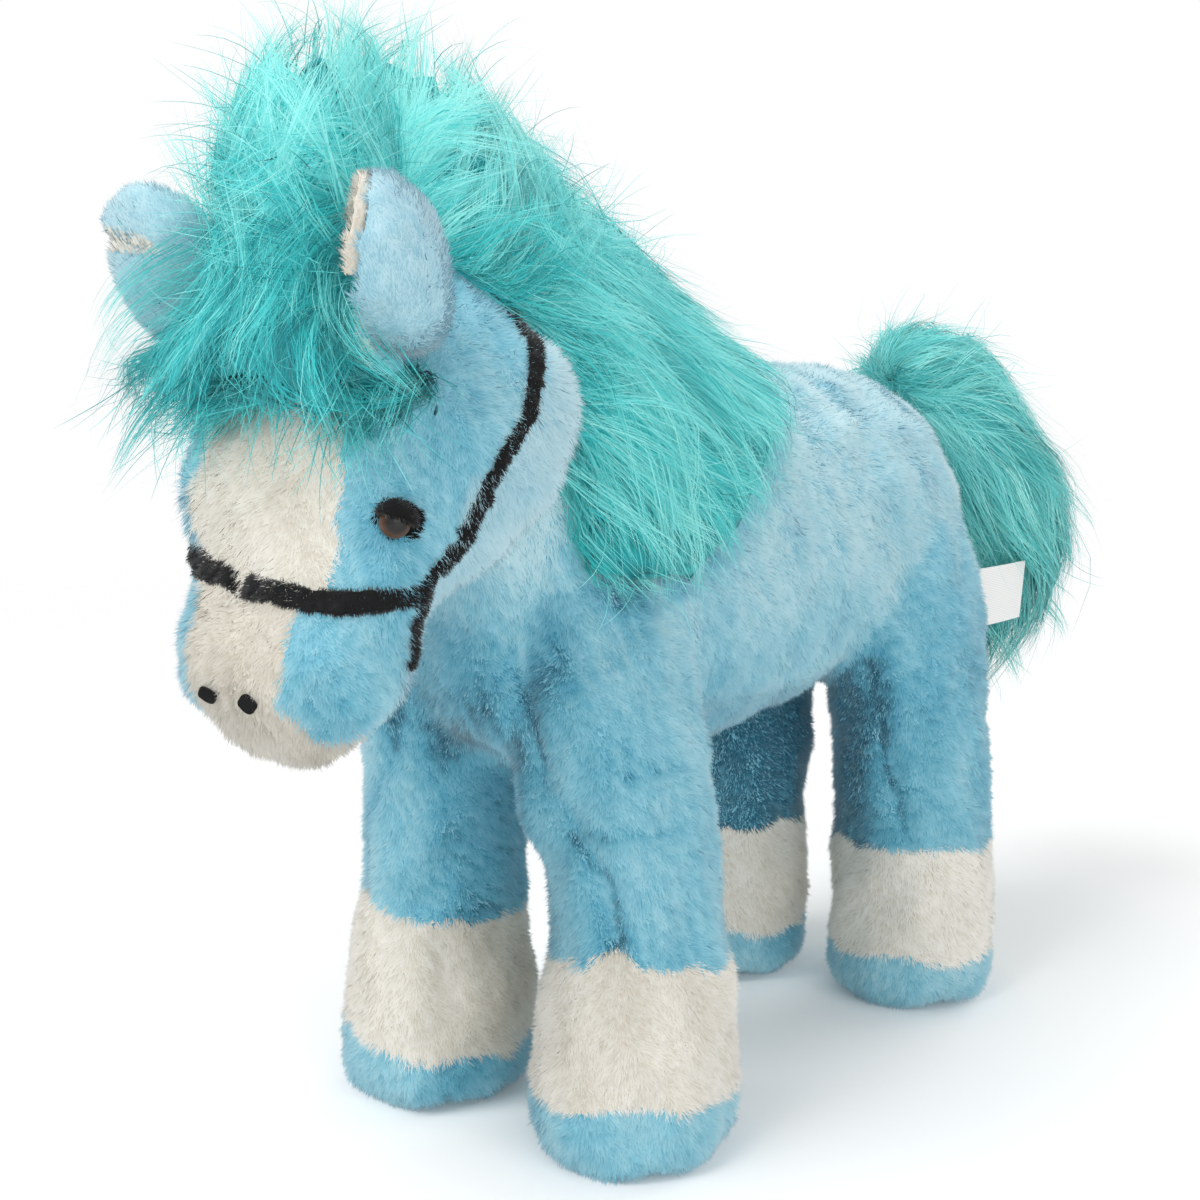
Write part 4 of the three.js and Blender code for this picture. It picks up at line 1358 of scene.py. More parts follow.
@dataclass(frozen=True)
class Wisp:
    """A few long hairs that stand out together: a curve by its root, bend and tip, in millimetres."""

    curve: tuple[tuple[float, float, float], ...]
    hairs: int = 26
    spread_mm: float = 2.2

    def paths(self, steps: int, rng: np.random.Generator) -> np.ndarray:
        """Traces the wisp's hairs, which gather at its tip."""
        along = np.linspace(0, 1, steps)[:, None]
        root, bend, tip = (np.array(place) * MM for place in self.curve)
        line = (1 - along) ** 2 * root + 2 * along * (1 - along) * bend + along**2 * tip
        apart = rng.normal(size=(self.hairs, 1, 3)) * self.spread_mm * MM
        whole = line + apart * (1 - 0.7 * along)
        return resampled(whole, rng.uniform(0.7, 1.0, self.hairs))


class HairForm:
    """A sewn-on mass of long pile: a core, painted dark as the shade deep in the hair, with locks that flow over it
    from its seam.
    """

    core_inset_mm = 11.0
    core_share = 0.36
    pile = Pile.HAIR
    voxel_mm = 3.0
    # How far from its seam hair starts to fall, over how long a way, both in metres, and how steeply.
    drop = (0.03, 0.09, 0.8)
    down = DOWN
    wander_share = 0.22

    def __init__(
        self, name: str, node: str, body: str, seam: tuple[float, float, float], locks: Locks, seed: int
    ) -> None:
        """Notes where the hair is sewn and how it falls.

        Args:
            name: The hair's name.
            node: The solid that it stands for.
            body: The body that carries it.
            seam: The middle of its seam, from which it flows.
            locks: The sizes of its locks.
            seed: The seed of its random numbers.
        """
        self.name, self.node, self.body, self.locks, self.seed = name, node, body, locks, seed
        self.seam = np.array(seam)
        self.keep_off: list[tuple[Hull, float, int]] = []
        self.wisps: tuple[Wisp, ...] = ()
        self.under: Optional[Hull] = None
        self.hull_piece: bpy.types.Object
        self.hull: Hull

    def shape(self) -> None:
        """Makes the smooth hull that the hair's outside follows."""
        self.hull_piece = remeshed(copy_of_node(self.node), self.voxel_mm, 0.6, 8)
        self.hull = Hull.of(self.hull_piece)

    def source(self, places: np.ndarray) -> np.ndarray:
        """Where on its seam the hair of each place comes from."""
        return self.seam

    def flow(self, places: np.ndarray) -> np.ndarray:
        """The way that the hair runs at each place: away from its seam, and down the further it gets."""
        apart = places - self.source(places)
        far = np.linalg.norm(apart, axis=1, keepdims=True)
        start, over, most = self.drop
        wander = self.wander_share * Waves(38, self.seed + 5).slopes(places)[1]
        return unit(apart / np.maximum(far, 1e-6) + share((far - start) / over) * most * self.down + wander)

    def wanted(self, tips: np.ndarray, normals: np.ndarray) -> np.ndarray:
        """Which places of the hull get tips of hair."""
        return np.ones(len(tips), bool)

    def light(self, tips: np.ndarray) -> np.ndarray:
        """How much paler than usual the hair is painted, as light and shade, by where its tips lie."""
        return np.zeros(len(tips))

    def groups(self, tips: np.ndarray) -> dict[str, np.ndarray]:
        """Splits the hair in pieces by where the tips lie."""
        return {f"{self.name}_locks": np.ones(len(tips), bool)}

    def guides(self, rng: np.random.Generator) -> tuple[np.ndarray, np.ndarray]:
        """Traces the middle of each lock back from its tip towards the seam.

        Args:
            rng: The random numbers.

        Returns:
            The guides from root to tip, and the hull's direction at their middles.
        """
        sizes = self.locks
        ground = Ground.of(self.hull_piece)
        area = ground.area_mm2()
        tips, normals = ground.pick(1.3 * sizes.guides / area, rng)
        chosen = self.wanted(tips, normals)
        tips, normals = tips[chosen], normals[chosen]
        count, steps = len(tips), sizes.steps
        length = rng.uniform(*sizes.length_mm, count)
        length = np.minimum(length, np.maximum(np.linalg.norm(tips - self.seam, axis=1) / MM, 14))
        rise = rng.uniform(*sizes.tip_rise_mm, count)
        depth = -rng.uniform(*sizes.root_depth_mm, count)
        lean = sizes.lean * rng.normal(size=(count, 3))
        path = np.empty((steps, count, 3))
        path[-1] = tips + normals * (rise * MM)[:, None]
        place = path[-1]
        middle = normals
        for step in range(steps - 2, -1, -1):
            way = unit(self.flow(place) + lean)
            _, out = self.hull.nearest(place)
            way = unit(way - out * (way * out).sum(1, keepdims=True) * 0.9)
            place = place - way * (length / (steps - 1) * MM)[:, None]
            at, out = self.hull.nearest(place)
            height = ((place - at) * out).sum(1) / MM
            target = depth + (rise - depth) * (step / (steps - 1)) ** 0.7
            place = place + out * ((target - height) * 0.7 * MM)[:, None]
            path[step] = place
            if step == steps // 2:
                middle = out
        way = unit(path[-1] - path[-2])
        reach = np.abs(rng.normal(size=count)) * sizes.overhang_mm * MM
        path[-1] += way * reach[:, None]
        return path.transpose(1, 0, 2), middle

    def grow(self) -> None:
        """Grows the strands of every lock and makes the pieces."""
        sizes = self.locks
        rng = np.random.default_rng(self.seed)
        guides, out = self.guides(rng)
        count, steps, each = len(guides), sizes.steps, sizes.children
        along = np.linspace(0, 1, steps)
        tangent = unit(guides[:, -1] - guides[:, 0])
        side = unit(np.cross(tangent, out))
        turn = rng.uniform(0, 2 * math.pi, (count, each))
        radius = np.sqrt(rng.random((count, each)))
        spread = sizes.root_spread_mm + (sizes.tip_spread_mm - sizes.root_spread_mm) * along**0.8
        across = (radius * np.cos(turn))[:, :, None] * spread
        through = (radius * np.sin(turn))[:, :, None] * spread * sizes.flatness
        paths = guides[:, None] + (
            across[..., None] * side[:, None, None] + through[..., None] * out[:, None, None]
        ) * MM
        loose = rng.normal(size=(count, each, 1, 3)) * (sizes.stray * along**1.5)[:, None] * sizes.stray_mm * MM
        wild = rng.random((count, each)) < sizes.wild_share
        paths = paths + loose * np.where(wild, sizes.wild_stray, sizes.calm_stray)[:, :, None, None]
        paths = resampled(paths.reshape(count * each, steps, 3), rng.uniform(*sizes.kept, count * each))
        # Painted shade within each lock: strands that lie deeper in it and towards its sides are darker, and wild
        # strands are paler.
        height = radius * np.sin(turn) * 0.12 - 0.12 * (radius * np.cos(turn)) ** 2 + 0.12 * wild
        shade = 0.5 + (0.12 * rng.normal(size=(count, 1)) + height + 0.06 * rng.normal(size=(count, each))).ravel()
        thin = np.where(wild, sizes.wild_width, 1.0).ravel()
        out_each = np.repeat(out, each, 0)
        more, more_out = self.loose_hairs(rng)
        paths, out_each = np.concatenate([paths, more]), np.concatenate([out_each, more_out])
        shade = np.concatenate([shade, sizes.loose_shade + 0.12 * rng.normal(size=len(more))])
        thin = np.concatenate([thin, np.full(len(more), sizes.loose_width)])
        shade = shade + self.light(paths[:, -1]) + 0.08 * Waves(34, 17)(paths[:, -1])
        self.make(paths, out_each, shade, thin, rng)

    def loose_hairs(self, rng: np.random.Generator) -> tuple[np.ndarray, np.ndarray]:
        """Traces the hairs that don't lie in any lock: flyaways from the surface, and the wisps.

        Args:
            rng: The random numbers.

        Returns:
            Their paths, and the direction out of the hair at each.
        """
        sizes = self.locks
        ground = Ground.of(self.hull_piece)
        place, out = ground.pick(sizes.flyaways / ground.area_mm2(), rng)
        step = (rng.uniform(*sizes.flyaway_mm, len(place)) / (sizes.steps - 1) * MM)[:, None]
        way = unit(self.flow(place) + 0.12 * out + 0.32 * rng.normal(size=place.shape))
        curl = 0.14 * rng.normal(size=place.shape)
        room = rng.uniform(3.4, 7.5, len(place)) * MM
        path = [place - out * 1.5 * MM]
        for _ in range(sizes.steps - 1):
            way = unit(way + curl + np.array([0.0, 0.0, -0.09]))
            place = path[-1] + way * step
            if self.under is not None:
                at, up = self.under.nearest(place)
                height = ((place - at) * up).sum(1)
                place = place + up * np.maximum(room - height, 0)[:, None]
            path.append(place)
        lots, ways = [np.stack(path, 1)], [out]
        for wisp in self.wisps:
            hairs = wisp.paths(sizes.steps, rng)
            lots.append(hairs)
            ways.append(self.hull.nearest(hairs[:, 0])[1])
        return np.concatenate(lots), np.concatenate(ways)

    def make(
        self, paths: np.ndarray, out: np.ndarray, shade: np.ndarray, thin: np.ndarray, rng: np.random.Generator
    ) -> None:
        """Makes the hair's pieces from its strands.

        Args:
            paths: The strands from root to tip.
            out: The direction out of the hair at each.
            shade: The pattern's U of each.
            thin: The part of the usual width that each has.
            rng: The random numbers.
        """
        sizes, count = self.locks, len(paths)
        along = np.linspace(0, 1, sizes.steps)
        way = unit(paths[:, -1] - paths[:, 0])
        side = unit(np.cross(way, out))
        side = unit(side + rng.normal(size=(count, 1)) * 0.5 * out)
        side, blade = turned_out(unit(level(side, way)), way, out)
        facing = unit(0.6 * out + 0.4 * blade)
        taper = (sizes.root_width_mm + (sizes.tip_width_mm - sizes.root_width_mm) * along[:-1]) * MM / 2
        width = taper * rng.uniform(0.7, 1.25, (count, 1)) * thin[:, None]
        # Paler strands, their painted light and shade included, reach further up towards the tip colour.
        reach = np.clip(0.68 + 0.6 * (shade - 0.45), 0.55, 1.0)
        keep = self.clear(paths)
        for name, own in self.groups(paths[:, -1]).items():
            own = own & keep
            fibres = ribbons(paths[own], side[own], width[own], shade[own], facing[own], reach[own])
            piece = new_piece(name, fibres, material_of(self.pile))
            piece.visible_shadow = False
            settle(piece, self.body, [self.node])

    def clear(self, paths: np.ndarray) -> np.ndarray:
        """Which strands keep off the neighbours."""
        low, high = np.array(cad_box[0]) - 12 * MM, np.array(cad_box[1]) + 12 * MM
        good = ((paths > low) & (paths < high)).all(axis=(1, 2))
        for hull, room_mm, first in self.keep_off:
            free = paths[:, first:]
            good &= (hull.outside(free.reshape(-1, 3)).reshape(len(paths), -1) > room_mm * MM).all(1)
        return good

    def core(self) -> None:
        """Makes the mass of roots under the locks, painted dark as the shade deep in the hair."""
        piece = self.hull_piece
        points, normals, _ = parts_of(piece)
        inward = self.core_inset_mm - 1.2 * Waves(12, self.seed + 9)(points)
        inward = np.minimum(inward, self.core_share * self.hull.thickness())
        set_points(piece.data, points - normals * (inward * MM)[:, None])
        modify(piece, "SMOOTH", factor=0.5, iterations=4)
        points, normals, faces = parts_of(piece)
        # Painted shade: the core takes the dark colours of the shade deep in the hair.
        shade = 0.28 + 0.12 * Waves(7, self.seed + 10)(points)
        pattern = np.stack([shade, 0.18 + 0.1 * Waves(4, self.seed + 11)(points)], 1)
        fibres = Fibres(points, faces, np.clip(pattern, 0.01, 0.99), normals)
        core = new_piece(f"{self.name}_roots", fibres, material_of(self.pile))
        settle(core, self.body, [self.node])
        bpy.data.objects.remove(piece)

    def build(self) -> None:
        """Makes the hair's pieces."""
        self.grow()
        self.core()


def resampled(paths: np.ndarray, kept: np.ndarray) -> np.ndarray:
    """Shortens or lengthens each path from its root, with as many steps.

    Args:
        paths: Paths by steps by x, y and z.
        kept: The part of its length that each path keeps.

    Returns:
        The new paths.
    """
    steps = paths.shape[1]
    place = np.linspace(0, 1, steps) * kept[:, None] * (steps - 1)
    low = np.clip(place.astype(int), 0, steps - 2)
    part = (place - low)[..., None]
    rows = np.arange(len(paths))[:, None]
    return paths[rows, low] * (1 - part) + paths[rows, low + 1] * part


class Mane(HairForm):
    """The mane: it fans from the crown behind the ears over both sides of the neck."""

    core_inset_mm = 9.5
    drop = (0.035, 0.08, 0.9)
    down = np.array([0.0, 0.1, -1.0])
    wander_share = 0.25

    def __init__(self) -> None:
        """Places the mane's seam on the crown."""
        locks = Locks(guides=2330, children=16, overhang_mm=7, wild_share=0.2, lean=0.21, stray=0.2, flyaways=700)
        super().__init__("mane", "mane", "body", (-0.00175, -0.150, 0.232), locks, 300)
        self.wisps = (
            Wisp(((-2, -141, 274), (-4, -140, 292), (-6, -138, 311)), 60, 3.6),
            Wisp(((4, -134, 272), (6, -131, 290), (7, -127, 309)), 60, 3.6),
            Wisp(((3, -122, 268), (5, -116, 286), (8, -110, 303)), 60, 3.6),
            Wisp(((2, -108, 262), (4, -101, 279), (8, -93, 294)), 50, 3.4),
            Wisp(((4, -94, 254), (6, -86, 268), (10, -77, 280)), 50, 3.4),
            Wisp(((6, -138, 262), (13, -124, 277), (19, -106, 272)), 100, 5.0),
            Wisp(((4, -128, 264), (9, -112, 280), (14, -94, 274)), 80, 4.6),
        )

    def source(self, places: np.ndarray) -> np.ndarray:
        """The mane parts along the crest of the neck and falls to both sides."""
        seam = np.tile(self.seam, (len(places), 1))
        behind = np.clip(places[:, 1] - self.seam[1], 0, 0.09)
        seam[:, 1] += behind * 0.55
        seam[:, 2] -= behind * 0.25
        return seam

    def light(self, tips: np.ndarray) -> np.ndarray:
        """The crest's thin tips are painted paler higher up, as light that shines through them, and the lowest tips a
        little paler.
        """
        return 0.06 + 0.48 * share((tips[:, 2] - 0.262) / 0.035) + 0.08 * share((0.215 - tips[:, 2]) / 0.03)

    def groups(self, tips: np.ndarray) -> dict[str, np.ndarray]:
        """The crest and the two sides."""
        crest = np.abs(tips[:, 0] - self.seam[0]) < 0.016
        left = tips[:, 0] > self.seam[0]
        return {"mane_crest": crest, "mane_left": ~crest & left, "mane_right": ~crest & ~left}


class Forelock(HairForm):
    """The forelock: a tuft that stands up before the mane and a fringe that hangs over the brow."""

    def __init__(self) -> None:
        """Places the forelock's seam between the ears."""
        locks = Locks(
            guides=900, children=15, length_mm=(34, 58), overhang_mm=7,
            wild_share=0.28, lean=0.26, stray=0.2, flyaways=900,
        )
        super().__init__("forelock", "forelock", "body", (-0.00175, -0.147, 0.250), locks, 400)
        self.wisps = (
            Wisp(((-3, -160, 270), (-5, -165, 288), (-9, -168, 305)), 60, 3.8),
            Wisp(((5, -154, 272), (7, -156, 290), (8, -157, 309)), 60, 3.8),
            Wisp(((-9, -164, 264), (-17, -171, 280), (-24, -174, 294)), 50, 3.8),
            Wisp(((-14, -172, 256), (-24, -178, 268), (-31, -180, 279)), 40, 3.8),
            Wisp(((-20, -180, 248), (-38, -189, 242), (-51, -186, 227)), 60, 4.2),
            Wisp(((-18, -182, 242), (-37, -191, 234), (-53, -186, 215)), 60, 4.2),
            Wisp(((-38, -172, 232), (-50, -172, 231), (-58, -168, 223)), 22),
            Wisp(((-38, -172, 222), (-52, -173, 222), (-60, -172, 211)), 22),
            Wisp(((-40, -170, 214), (-53, -172, 206), (-60, -178, 187)), 34),
            Wisp(((24, -174, 246), (30, -188, 242), (39, -189, 229)), 44, 3.4),
            Wisp(((28, -174, 240), (40, -189, 236), (49, -184, 222)), 44, 3.4),
            Wisp(((32, -174, 230), (46, -182, 227), (51, -172, 214)), 44, 3.4),
        )

    def light(self, tips: np.ndarray) -> np.ndarray:
        """The tuft's tips are painted paler higher up, as light, and the fringe over the brow is painted darker, as
        shade.
        """
        return 0.3 * share((tips[:, 2] - 0.262) / 0.035) - 0.16 * share((0.250 - tips[:, 2]) / 0.02)

    def shape(self) -> None:
        """Lifts the fringe in an arch over the middle of the brow, where the blaze shows."""
        super().shape()
        points = points_of(self.hull_piece.data)
        arch = 0.217 - 33 * (points[:, 0] - 0.003) ** 2
        front = share((-0.160 - points[:, 1]) / 0.01)
        points[:, 2] += np.clip(arch - points[:, 2], 0, None) * 0.85 * front
        set_points(self.hull_piece.data, points)
        self.hull = Hull.of(remeshed(self.hull_piece, self.voxel_mm, 0.6, 5))


class Tail(HairForm):
    """The tail: it springs from the rump and falls behind it, a little faded."""

    pile = Pile.TAIL_HAIR

    def __init__(self) -> None:
        """Places the tail's seam on the rump."""
        locks = Locks(guides=860, children=16, overhang_mm=7, wild_share=0.24, lean=0.22, stray=0.22, flyaways=260)
        super().__init__("tail", "tail", "tail", (0.001, 0.112, 0.200), locks, 500)
        self.wisps = (
            Wisp(((2, 118, 214), (-20, 140, 219), (-36, 152, 211)), 26),
            Wisp(((8, 150, 200), (6, 170, 206), (3, 183, 198)), 20),
            Wisp(((36, 172, 160), (42, 187, 152), (40, 199, 141)), 26),
            Wisp(((36, 160, 122), (40, 176, 112), (36, 186, 101)), 26),
            Wisp(((26, 152, 108), (27, 164, 96), (24, 172, 87)), 26),
        )

    def shape(self) -> None:
        """Makes the hull slimmer below the dock."""
        super().shape()
        points = points_of(self.hull_piece.data)
        behind = share((points[:, 1] - 0.135) / 0.035)
        points[:, 1] -= 0.009 * behind * bell((points[:, 2] - 0.190) / 0.022)
        set_points(self.hull_piece.data, points)
        self.hull = Hull.of(self.hull_piece)


# The ears


@dataclass(frozen=True)
class Ear:
    """A cupped ear: pale plush outside and a cream lining in its cup, which shows less where the ear is folded."""

    side: str
    seed: int
    folded: bool = False
    outer: ShortPile = ShortPile(length_mm=2.8, per_mm2=5, lean_deg=56, tuft_mm=5, long_share=0.03)
    inner: ShortPile = ShortPile(length_mm=2.2, per_mm2=5, lean_deg=56, tuft_mm=4, long_share=0.03)
    base_mm: float = 11
    crescent: tuple[float, float, float] = (-47, 250.5, 3.0)
    crescent_half_mm: float = 15
    foot_share: float = 1.0
    lining_from: float = 0.0
    paler: float = 0.0

    def along(self, points: np.ndarray) -> np.ndarray:
        """How far up the ear each place lies, from 0 at its foot to 1 at its tip."""
        low, high = (np.array(corner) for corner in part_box(f"{self.side}_ear"))
        run = np.array([0.0, low[1] - high[1], high[2] - low[2]])
        return np.clip((points - np.array([0.0, high[1], low[2]])) @ run / (run @ run), 0, 1)

    def gathered(self, points: np.ndarray) -> np.ndarray:
        """Draws the ear's places in towards its foot, where it is gathered in the seam."""
        own = points_of(frame["nodes"][f"{self.side}_ear"].data)
        height = self.along(own)
        foot, top = own[height < 0.3].mean(0), own[height > 0.7].mean(0)
        along = self.along(points)
        middle = foot + (top - foot) * ((along - 0.15) / 0.7)[:, None]
        narrow = 1 - (1 - self.foot_share) * share(1 - along / 0.55) ** 0.8
        return middle + (points - middle) * narrow[:, None]

    def room(self) -> Hull:
        """The ear's form, which the hair keeps off."""
        shell = remeshed(copy_of_node(f"{self.side}_ear"), 1.5)
        set_points(shell.data, self.gathered(points_of(shell.data)))
        hull = Hull.of(shell)
        bpy.data.objects.remove(shell)
        return hull

    def build(self, head: Hull) -> None:
        """Makes the ear's shell and its lining.

        Args:
            head: The cloth of the head that it is sewn to.
        """
        shell, lining = f"{self.side}_ear", f"{self.side}_ear_lining"
        low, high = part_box(shell)
        base = Vector(((low[0] + high[0]) / 2, high[1], low[2]))
        tip = Vector(((low[0] + high[0]) / 2, low[1], high[2]))
        way = np.array((tip - base).normalized())
        if self.folded:
            self.fold(shell, lining, way, head)
            return
        for node, partner, pile, short, voxel_mm, inset_mm in (
            (shell, lining, Pile.PALE, self.outer, 1.3, 1.0),
            (lining, shell, Pile.CREAM, self.inner, 0.7, 0.2),
        ):
            cloth = remeshed(copy_of_node(node), voxel_mm, 0.5, 6)
            points, normals, triangles = parts_of(cloth)
            points = points - normals * inset_mm * MM
            other = tree_of(frame["nodes"][partner])
            gap = np.array([other.find_nearest(place)[3] for place in points[triangles].mean(1).tolist()])
            lined = self.along(points[triangles].mean(1)) > self.lining_from
            points = self.gathered(points)
            if node == lining:
                self.dress(node, pile, short, points, normals, triangles[lined & (gap > 0.5 * MM)], None, way, head)
            else:
                self.dress(node, pile, short, points, normals, triangles, (gap > 1.3 * MM) | ~lined, way, head)
            bpy.data.objects.remove(cloth)

    def over_crescent(self, places: np.ndarray) -> tuple[np.ndarray, np.ndarray]:
        """How far across the crescent each place lies, -1 and 1 at its ends, and how far above it in millimetres."""
        across, up, _ = self.crescent
        reach = (places[:, 0] / MM - across) / self.crescent_half_mm
        line = up - 2.2 * reach**2
        return reach, places[:, 2] / MM - line

    def fold(self, shell: str, lining: str, way: np.ndarray, head: Hull) -> None:
        """Makes the ear folded over its own cup, so that a crescent of its lining shows.

        Args:
            shell: The node of its outside.
            lining: The node of its lining.
            way: The way from its base to its tip.
            head: The cloth of the head.
        """
        cloth = joined([copy_of_node(shell), copy_of_node(lining)], "folded_ear")
        edit(cloth, lambda: bpy.ops.mesh.convex_hull())
        points, normals, triangles = parts_of(remeshed(cloth, 1.2, 0.6, 14))
        front = share(-normals[:, 1] * 2.2)
        reach, height = self.over_crescent(points)
        lip = bell((height - 4.6) / 3.2) * 1.1 - bell(height / 2.6) * 1.6
        points = points - normals * ((1.4 - lip * front * np.exp(-(reach**4))) * MM)[:, None]
        reach, height = self.over_crescent(points[triangles].mean(1))
        narrow = self.crescent[2] * np.sqrt(share(1 - reach**2))
        cream = (np.abs(height) < narrow) & (normals[triangles].mean(1)[:, 1] < -0.2)
        self.dress(shell, Pile.PALE, self.outer, points, normals, triangles, ~cream, way, head)
        self.dress(lining, Pile.CREAM, self.inner, points, normals, triangles[cream], None, way, head)
        bpy.data.objects.remove(cloth)

    def dress(
        self, node: str, pile: Pile, short: ShortPile, points: np.ndarray, normals: np.ndarray,
        triangles: np.ndarray, grown: Optional[np.ndarray], way: np.ndarray, head: Hull,
    ) -> None:
        """Makes one layer of the ear and its pile.

        Args:
            node: The solid that the layer stands for.
            pile: Its pile.
            short: The pile's sizes.
            points: The layer's points.
            normals: Their directions.
            triangles: The layer's faces.
            grown: Which faces have pile, all where it's left out.
            way: The way from the ear's base to its tip.
            head: The cloth of the head, over which the pile of the ear's base falls.
        """
        picked = triangles if grown is None else triangles[grown]
        roots, ways = Ground(points, normals, picked).pick(short.per_mm2, np.random.default_rng(self.seed))
        _, up = head.nearest(roots)
        low = np.zeros(len(roots))
        if pile is Pile.PALE:
            low = share((self.base_mm - head.outside(roots) / MM) / self.base_mm)
        looks = unit(ways * (1 - 0.75 * low)[:, None] + up * (0.75 * low)[:, None])
        nap = np.outer(1 - 2 * share(2 * low), way)
        fibres = short.grow(roots, ways, nap, 0.16 * low + self.paler, self.seed, 1 + 0.7 * low, looks)
        if grown is None:
            backing = cloth_layer(points, normals, picked)
        else:
            backing = plain_backing(points, normals, triangles, 0.45, Waves(6, 8), 0.08, 0.34)
        layered(node, pile, backing, fibres, f"{self.side}_ear")


# The bridle


@dataclass(frozen=True)
class Ribbon:
    """A velvet ribbon laid in the pile, or a felt lid: a band with a short ragged nap.

    A level ribbon can be narrower than its solid, which allows for the pile that folds over its edges, and it can
    ride up and taper towards the right side, and dip in the pile at one place, by its x, half width and depth.
    """

    node: str
    seed: int
    pile: Pile = Pile.VELVET
    sink_mm: float = 1.2
    narrow: float = 1.0
    tilt_mm: float = 0.0
    dip: Optional[tuple[float, float, float]] = None
    forward: bool = False
    moved_mm: tuple[float, float, float] = (0, 0, 0)
    short: ShortPile = ShortPile(
        length_mm=1.2, width_mm=0.3, per_mm2=8, lean_deg=42, tuft_mm=3.5, long_share=0.04, facing_share=0.8
    )

    def build(self, head: Hull) -> None:
        """Makes the ribbon from its solid, let into the pile.

        Args:
            head: The cloth of the head that it lies on.
        """
        cloth = remeshed(copy_of_node(self.node), 0.6, 0.5, 4)
        points = points_of(cloth.data)
        _, out = head.nearest(points)
        low, high = points[:, 2].min(), points[:, 2].max()
        middle = low + 0.6 * (high - low)
        right = share((25 - points[:, 0] / MM) / 45) if self.tilt_mm else np.zeros(len(points))
        points[:, 2] = middle + (points[:, 2] - middle) * self.narrow * (1 - 0.3 * right)
        shift = np.zeros(points.shape)
        shift[:, 2] = self.tilt_mm * MM * right
        if self.forward:
            shift[:, 1] = -strap_shift(points)
        points, out = self.shifted(points, shift, out, head)
        points += np.array(self.moved_mm) * MM
        edge = 0.3 * Waves(3.2, self.seed).slopes(points)[1]
        sink = np.full(len(points), self.sink_mm)
        if self.dip:
            across, half, deep = self.dip
            sink += deep * bell((points[:, 0] / MM - across) / half) * (points[:, 1] < -0.165)
        points = points - out * (sink * MM)[:, None] + edge * MM
        set_points(cloth.data, points)
        self.nap(cloth, f"{self.node}_nap")

    def shifted(
        self, points: np.ndarray, shift: np.ndarray, out: np.ndarray, head: Hull
    ) -> tuple[np.ndarray, np.ndarray]:
        """Moves the ribbon along the face, as far from the stuffing as it was.

        Args:
            points: The ribbon's points.
            shift: How far each moves.
            out: The head's direction at each.
            head: The cloth of the head.

        Returns:
            The moved points, and the head's direction there.
        """
        stuffing = copy_of_node("head_stuffing")
        height = Hull.of(stuffing).outside(points) - (StuffedForm.grow_mm - StuffedForm.pile_height_mm) * MM
        bpy.data.objects.remove(stuffing)
        part = share(np.linalg.norm(shift, axis=1) / (1.5 * MM))[:, None]
        at, way = head.nearest(points + shift)
        return points * (1 - part) + (at + way * height[:, None]) * part, unit(out * (1 - part) + way * part)

    def nap(self, cloth: bpy.types.Object, name: str) -> None:
        """Gives a band of cloth its nap and puts it in place of the solid.

        Args:
            cloth: The band, which is used up.
            name: The finished piece's name.
        """
        points, normals, triangles = parts_of(cloth)
        roots, ways = Ground(points, normals, triangles).pick(self.short.per_mm2, np.random.default_rng(self.seed))
        nap = np.tile(np.array([0.0, 0.3, -1.0]), (len(roots), 1))
        fibres = self.short.grow(roots, ways, nap, 0.0, self.seed)
        backing = plain_backing(points, normals, triangles, 0.3, Waves(4, 8), 0.1, 0.3)
        piece = new_piece(name, stacked([backing, fibres]), material_of(self.pile))
        piece.visible_shadow = False
        settle(piece, "body", [self.node])
        bpy.data.objects.remove(cloth)


# The eyes, nostrils and label

EYE_FINISH = "moulded_acrylic_eye"
# From the pupil's middle out: a grey spot painted as a reflection, then the black pupil, the brown iris and its dark
# rim.
EYE_RINGS = (
    (0.0, "#232325"), (0.25, "#0b0a0b"), (0.32, "#170d08"), (0.4, "#38210f"), (0.48, "#553317"), (0.55, "#24140a")
)


